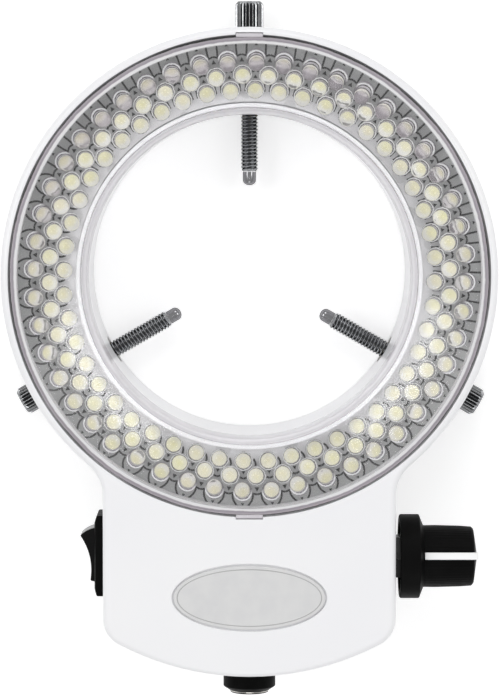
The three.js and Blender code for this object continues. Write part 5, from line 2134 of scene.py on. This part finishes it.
@dataclass(frozen=True)
class Dimmer:
    """The dimmer on the right wall: potentiometer, nut, knob and pointer."""

    levels: Levels
    body_length: float = 10.5
    body_width: float = 9.5
    body_depth: float = 5.0
    body_back: float = 1.2
    body_edge: float = 0.35
    body_edge_steps: int = 3
    bar_edge: float = 0.3
    bush_sides: int = 40
    bush_reach: float = 2.1
    shaft_radius: float = 2.2
    shaft_reach: float = 12.5
    shaft_sides: int = 36
    nut_width: float = 7.9
    nut_height: float = 1.8
    standoff: float = 1.0
    skirt_radius: float = 8.25
    skirt_height: float = 4.65
    skirt_edge: float = 0.25
    skirt_rim: float = 3.95
    skirt_round: tuple[Pair, ...] = ((0, 0.3), (0.12, 0.08), (0.35, 0))
    grip_foot: tuple[Pair, ...] = ((0.25, -0.1), (-0.15, 0.1))
    grip_radius: float = 6.15
    grip_top: float = 5.9
    grip_edge: float = 0.8
    grip_edge_steps: int = 5
    grip_inset: float = 0.1
    grip_overlap: float = 0.5
    grip_sink: float = 0.2
    grip_bevel: float = 0.1
    grip_wall: float = 1.1
    grip_steps: int = 4
    core_sides: int = 64
    knob_sides: int = 96
    height: float = 15.3
    end_rise: float = 0.75
    recess_wall: float = 1.5
    ridges: int = 56
    ridge_depth: float = 0.07
    steps_per_ridge: int = 4
    pointer_width: float = 1.4
    pointer_depth: float = 0.6
    pointer_proud: float = 0.25
    pointer_edge: float = 0.12
    pointer_bend: float = 0.6
    pointer_end: float = 0.75
    pointer_slope: float = 0.4
    pointer_turn: float = -7.5
    smooth: float = 40

    def lay(self) -> Matrix:
        """Lays a shape that stands along Z on the knob's axis."""
        return Matrix.Translation((0, self.levels.dimmer_y, self.levels.control)) @ Direction.TOWARDS_X.value

    def build(self, knurl: Knurl, thread: Thread, use: Finishes) -> None:
        """Makes and places the dimmer's pieces.

        Args:
            knurl: the tree that makes ridged bars.
            thread: the tree that makes threads.
            use: the lamp's finishes.
        """
        self.build_pot(thread, use)
        self.build_knob(knurl, use)

    def build_pot(self, thread: Thread, use: Finishes) -> None:
        """Makes and places the potentiometer, its shaft and its nut."""
        at, edge = self.levels, self.bar_edge
        side = at.side_wall
        inner = side - at.wall
        back = inner - self.body_depth
        end = side + self.bush_reach
        across, along = self.body_width / 2, self.body_length / 2
        work = Workpiece(block(-across, across, -along, along, back, inner))
        work.bevelled(self.body_edge, self.body_edge_steps)
        work.add(rounded_bar(at.bush, back + self.body_depth / 2, end, edge, self.bush_sides))
        bottom = back + self.body_back
        work.cut(cylinder(self.shaft_radius + GAP, bottom, end + OVERRUN, self.shaft_sides))
        work.mesh.transform(self.lay())
        dress("dimmer_body", work.mesh, [use.zinc], "dimmer_zinc")
        shaft = rounded_bar(self.shaft_radius, bottom + GAP, side + self.shaft_reach, edge, self.shaft_sides)
        dress("dimmer_shaft", shaft.moved(self.lay()).mesh(), [use.nickel], "shaft_nickel", body="knob")
        nut = hex_nut(self.nut_width, at.bush + SLIP, side, side + self.nut_height)
        nut.mesh.transform(self.lay())
        dress("dimmer_nut", nut.mesh, [use.nut_black], "dimmer_nut_black")

    def build_knob(self, knurl: Knurl, use: Finishes) -> None:
        """Makes and places the knob and its pointer."""
        side = self.levels.side_wall
        bottom = side + self.standoff
        top = bottom + self.height
        skirt_top = bottom + self.skirt_height
        rim = bottom + self.skirt_rim
        recess_top = side + self.bush_reach + GAP
        recess = self.skirt_radius - self.recess_wall
        bore = self.shaft_radius + SLIP
        shoulder = top - self.end_rise
        turns = quarter(self.grip_edge, self.grip_edge_steps)
        grip_rim = [(self.grip_top - inset - self.grip_inset, shoulder - self.grip_edge + rise)
                    for inset, rise in turns]
        work = Workpiece(lathe([
            (0, side + self.shaft_reach + SLIP),
            (bore, side + self.shaft_reach + SLIP),
            (bore, recess_top),
            (recess, recess_top),
            (recess, bottom),
            (self.skirt_radius - self.skirt_edge, bottom),
            (self.skirt_radius, bottom + self.skirt_edge),
            *[(self.skirt_radius - inset, rim - drop) for inset, drop in self.skirt_round],
            *[(self.grip_radius + out, skirt_top + rise) for out, rise in self.grip_foot],
            *grip_rim,
            (0, top),
        ], self.knob_sides))
        groove = form_of(Workpiece(self.pointer(SLIP)))
        work.cut(groove)
        grip = knurl.made(
            Length=self.height - self.skirt_height - self.end_rise - self.grip_edge + self.grip_overlap,
            Radius=self.grip_radius, End_Radius=self.grip_top, Depth=self.ridge_depth, Edge=self.grip_bevel,
            Sides=self.ridges * self.steps_per_ridge, Steps=self.grip_steps,
            Ridges=float(self.ridges), Material=use.black,
        )
        grip.transform(Matrix.Translation((0, 0, skirt_top - self.grip_sink)))
        core = cylinder(self.grip_top - self.grip_wall, 0, top + SHORT_OVERRUN, self.core_sides)
        mesh = joined([work.mesh, Workpiece(grip).cut(groove, core).mesh])
        mesh.transform(self.lay())
        dress("dimmer_knob", mesh, [use.black], "black_plastic", body="knob", smooth=self.smooth)
        pointer = Workpiece(self.pointer(0)).bevelled(self.pointer_edge)
        pointer.mesh.transform(self.lay())
        dress("knob_pointer", pointer.mesh, [use.pointer], "pointer_white", body="knob")

    def pointer(self, margin: float) -> Form:
        """The pointer's bar, which bends over the knob's end.

        Args:
            margin: how far the bar is swollen, when it cuts the groove.

        Returns:
            The bar round the knob's own axis, which stands along Z.
        """
        side = self.levels.side_wall
        start = side + self.standoff + self.skirt_height + SLIP - margin
        end = side + self.standoff + self.height
        floor = self.grip_top - self.pointer_depth - margin
        proud = self.grip_radius + self.pointer_proud
        inside = end - self.pointer_depth - self.end_rise - margin
        top = end + self.pointer_proud
        points = [
            (-floor, start),
            (-floor, inside),
            (margin, inside + self.end_rise * self.pointer_bend),
            (margin, top),
            (-self.grip_top * self.pointer_end, top - self.end_rise * self.pointer_slope),
            (-proud, end - self.grip_edge * self.pointer_slope),
            (-proud, start),
        ]
        half = self.pointer_width / 2 + margin
        bar = prism(points, -half, half).moved(Direction.TOWARDS_MINUS_Y.value)
        return bar.moved(about_axis(self.pointer_turn))


def hex_nut(width: float, bore: float, bottom: float, top: float, turn: float = 0) -> Workpiece:
    """A chamfered hexagon nut round the Z axis.

    Args:
        width: across the flats.
        bore: the hole's radius.
        bottom: the lower face.
        top: the upper face.
        turn: the turn round the axis, in degrees.

    Returns:
        The nut.
    """
    corner = width / 2 / math.cos(math.pi / 6)
    turns = [math.radians(60 * step + turn) for step in range(6)]
    points = [(corner * math.cos(turned), corner * math.sin(turned)) for turned in turns]
    nut = Workpiece(prism(points, bottom, top))
    nut.combine(lathe([
        (0, bottom), (width / 2, bottom), (corner, bottom + NUT_CHAMFER),
        (corner, top - NUT_CHAMFER), (width / 2, top), (0, top),
    ], NUT_SIDES), Combination.SHARE)
    wide, under, over = bore + NUT_LEAD_IN, bottom - SHORT_OVERRUN, top + SHORT_OVERRUN
    nut.cut(lathe([
        (0, under), (wide, under), (wide, bottom), (bore, bottom + NUT_LEAD_IN),
        (bore, top - NUT_LEAD_IN), (wide, top), (wide, over), (0, over),
    ], NUT_BORE_SIDES))
    return nut


@dataclass(frozen=True)
class PowerInlet:
    """The round power inlet in the bottom wall."""

    levels: Levels
    back: float = 65.1
    back_edge: float = 0.3
    flange: float = 5.1
    flange_end: float = 80.95
    flange_edges: Pair = (0.1, 0.15)
    slope_end: float = 0.2
    ring_start: float = 81.6
    ring_profile: tuple[Pair, ...] = ((-0.27, 0.02), (0.12, 0.02), (0.16, 0.05))
    ring_top: Pair = (0.1, 0.26)
    groove_depth: float = 0.25
    groove_rise: float = 0.03
    nose: float = 3.75
    nose_start: float = 0.2
    nose_edge: float = 0.06
    mouth: float = 82.05
    bore: float = 2.85
    bore_end: float = 73.1
    body_sides: int = 72
    sleeve_outer: float = 2.75
    sleeve_wall: float = 0.25
    sleeve_end: float = 82.0
    sleeve_edge: Pair = (0.06, 0.08)
    sleeve_sides: int = 56
    pin: float = 1.0
    pin_end: float = 81.2
    pin_edge: float = 0.6
    pin_sides: int = 28
    pin_steps: int = 5
    nut_width: float = 10.8
    nut_turn: float = 30

    def lay(self) -> Matrix:
        """Lays a shape that stands along Z on the inlet's axis."""
        return Matrix.Translation((0, 0, self.levels.control)) @ Direction.TOWARDS_MINUS_Y.value

    def build(self, use: Finishes) -> None:
        """Makes and places the inlet's pieces.

        Args:
            use: the lamp's finishes.
        """
        self.build_body(use)
        self.build_sleeve(use)
        pin = rounded_bar(self.pin, self.bore_end, self.pin_end, self.pin_edge, self.pin_sides,
                          self.pin_steps)
        dress("inlet_pin", pin.moved(self.lay()).mesh(), [use.nickel], "shaft_nickel")
        low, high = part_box("inlet_nut")
        nut = hex_nut(self.nut_width, self.levels.inlet + SLIP, -high.y / MM, -low.y / MM, self.nut_turn)
        nut.mesh.transform(self.lay())
        dress("inlet_nut", nut.mesh, [use.nickel], "shaft_nickel")

    def build_body(self, use: Finishes) -> None:
        """Makes and places the black barrel with its flange, groove and mouth."""
        barrel, seat = self.levels.inlet, self.levels.end_wall
        foot, rim = self.flange_edges
        groove = self.nose - self.groove_depth
        body = lathe([
            (0, self.back),
            (barrel - self.back_edge, self.back),
            (barrel, self.back + self.back_edge),
            (barrel, seat),
            (self.flange - foot, seat),
            (self.flange, seat + foot),
            (self.flange, self.flange_end - rim),
            (self.flange - rim, self.flange_end),
            (self.nose + self.slope_end, self.ring_start),
            (groove, self.ring_start + self.groove_rise),
            (groove, self.mouth - self.groove_depth),
            (self.nose, self.mouth - self.nose_start),
            (self.nose, self.mouth - self.nose_edge),
            (self.nose - self.nose_edge, self.mouth),
            (self.bore, self.mouth),
            (self.bore, self.bore_end),
            (0, self.bore_end),
        ], self.body_sides)
        dress("inlet_body", body.moved(self.lay()).mesh(), [use.black], "black_plastic")

    def build_sleeve(self, use: Finishes) -> None:
        """Makes and places the bright sleeve and the bright ring in the groove."""
        outer, end = self.sleeve_outer, self.sleeve_end
        inner = outer - self.sleeve_wall
        across, along = self.sleeve_edge
        sleeve = lathe([
            (inner, self.bore_end + SLIP), (outer, self.bore_end + SLIP), (outer, end - along),
            (outer - across, end), (inner + across, end), (inner, end - along),
        ], self.sleeve_sides, closed=True)
        out, drop = self.ring_top
        ring_inner = self.nose + self.ring_profile[0][0]
        ring = lathe([
            *[(self.nose + x, self.ring_start + rise) for x, rise in self.ring_profile],
            (self.nose + out, self.mouth - drop),
            (ring_inner, self.mouth - drop),
        ], self.sleeve_sides, closed=True)
        dress("inlet_sleeve", sleeve.with_form(ring).moved(self.lay()).mesh(), [use.nickel], "shaft_nickel")


@dataclass(frozen=True)
class InnerParts:
    """What the box holds out of sight, dressed where the CAD's own shapes stay."""

    def build(self, use: Finishes) -> None:
        """Gives each CAD node that stays its finish.

        Args:
            use: the lamp's finishes.
        """
        dress = {
            "switch_terminal_upper": use.brass,
            "switch_terminal_lower": use.brass,
            "driver_board": use.driver,
            "driver_coil": use.ferrite,
            "driver_capacitor": use.sleeve,
            "driver_chip": use.black,
            "driver_transistor": use.black,
            "lead_inlet_switch": use.red,
            "lead_switch_driver": use.red,
            "lead_inlet_driver": use.black_lead,
            "lead_dimmer_upper": use.red,
            "lead_dimmer_lower": use.black_lead,
            "lead_led_plus": use.red,
            "lead_led_minus": use.black_lead,
        }
        for name, finish in dress.items():
            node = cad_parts[name]
            for slot in node.material_slots:
                slot.material = finish
            log.info("%s: CAD node dressed", name)


# Studio

@dataclass(frozen=True)
class Studio:
    """Floor, light and camera."""

    floor_radius: float = 3000
    floor_level: float = -0.2
    floor_thickness: float = 10
    floor_sides: int = 64
    paper: Colour = (0.8, 0.8, 0.8)
    paper_glow: float = 0.45
    world: float = 0.55
    sensor: float = 36
    clip: Pair = (0.01, 20)
    camera_place: Triple = (0.12, 29.5, 628)
    camera_tilt: float = 3.483
    focal_length: float = 161.55
    camera_shift: float = -0.0496
    strip_size: Pair = (12.5, 3.6)
    strip_power: float = 0.0016
    strips: tuple[tuple[str, float], ...] = (("strip_left", 215), ("strip_right", 328))
    strip_parts: int = 5
    strip_step: float = 9.5
    strip_mirror: float = 35.7
    lamps: tuple[tuple[str, Triple, float, float], ...] = (
        ("softbox_left", (-1300, 300, 1300), 900, 8),
        ("softbox_right", (1300, 300, 1300), 900, 6.5),
        ("softbox_far", (0, 1500, 1200), 900, 6.5),
        ("softbox_near", (0, -1500, 1200), 900, 4.5),
    )

    def build(self) -> None:
        """Sets up floor, world, lamps and camera."""
        self.build_floor()
        self.build_world()
        for name, spot, size, power in self.lamps:
            self.build_lamp(name, spot, size, power)
        for name, direction in self.strips:
            for part in range(self.strip_parts):
                turn = direction + self.strip_step * (part - (self.strip_parts - 1) / 2)
                self.build_strip(f"{name}_{part + 1}", turn)
        self.build_camera()
        bpy.context.scene.view_settings.view_transform = "Standard"

    def build_floor(self) -> None:
        """Makes the paper floor."""
        low, top = self.floor_level - self.floor_thickness, self.floor_level
        mesh = cylinder(self.floor_radius, low, top, self.floor_sides).mesh()
        mesh.transform(Matrix.Scale(MM, 4))
        mesh.materials.append(FloorPaper("floor_paper", self.paper, self.paper_glow).material())
        hung("floor", mesh)

    def build_world(self) -> None:
        """Sets an even, pale surround."""
        world = bpy.data.worlds.new("studio")
        world.use_nodes = True
        background = world.node_tree.nodes["Background"]
        background.inputs["Color"].default_value = (1, 1, 1, 1)
        background.inputs["Strength"].default_value = self.world
        bpy.context.scene.world = world

    def build_lamp(self, name: str, spot: Triple, size: float, power: float) -> None:
        """Hangs one soft lamp that faces the object.

        Args:
            name: the lamp's name.
            spot: where it hangs.
            size: the side of its square face.
            power: its power in watts.
        """
        data = bpy.data.lights.new(name, "AREA")
        data.size = size * MM
        data.energy = power
        lamp = hung(name, data)
        lamp.location = Vector(spot) * MM
        lamp.rotation_euler = (-Vector(spot)).to_track_quat("-Z", "Y").to_euler()

    def build_strip(self, name: str, direction: float) -> None:
        """Hangs a small strip lamp beside the camera, which the window mirrors near its inner edge.

        Args:
            name: the lamp's name.
            direction: where the window mirrors it, in degrees round the ring.
        """
        turn = math.radians(direction)
        data = bpy.data.lights.new(name, "AREA")
        data.shape = "RECTANGLE"
        data.size, data.size_y = self.strip_size[0] * MM, self.strip_size[1] * MM
        data.energy = self.strip_power
        lamp = hung(name, data)
        mirror = Vector((math.cos(turn), math.sin(turn), 0)) * self.strip_mirror
        lamp.location = (2 * mirror - Vector(self.camera_place)) * MM
        lamp.location.z = self.camera_place[2] * MM
        lamp.rotation_euler = (0, 0, turn + math.pi / 2)

    def build_camera(self) -> None:
        """Sets the camera over the lamp, as in the photograph."""
        data = bpy.data.cameras.new("camera")
        data.sensor_fit = "AUTO"
        data.sensor_width = self.sensor
        data.lens = self.focal_length
        data.shift_y = self.camera_shift
        data.clip_start, data.clip_end = self.clip
        camera = hung("camera", data)
        camera.location = Vector(self.camera_place) * MM
        camera.rotation_euler = (-math.radians(self.camera_tilt), 0, 0)
        bpy.context.scene.camera = camera


def main() -> None:
    """Builds the lamp's pieces in order and sets up the studio."""
    logging.basicConfig(level=logging.INFO, format="%(message)s")
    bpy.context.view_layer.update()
    use = Finishes.made()
    levels = Levels()
    outline = ShellOutline(levels)
    copies, thread, knurl = RingOfCopies(), Thread(), Knurl()
    screws = RearScrews(levels, outline)
    badge = Badge(levels)
    housing = Housing(levels, outline, screws, badge)
    housing.front(use.shell)
    housing.cover(use.shell)
    screws.build(thread, use.steel)
    badge.build(use.badge, use.badge_line)
    ClearWindow(levels).build(use.window, use.tab)
    LedRing(levels).build(copies, use)
    for name, direction, nose_end in CLAMPS:
        ClampScrew(levels, name, direction, nose_end).build(thread, knurl, use)
    RockerSwitch(levels).build(use)
    Dimmer(levels).build(knurl, thread, use)
    PowerInlet(levels).build(use)
    InnerParts().build(use)
    Studio().build()


if __name__ == "__main__":
    main()
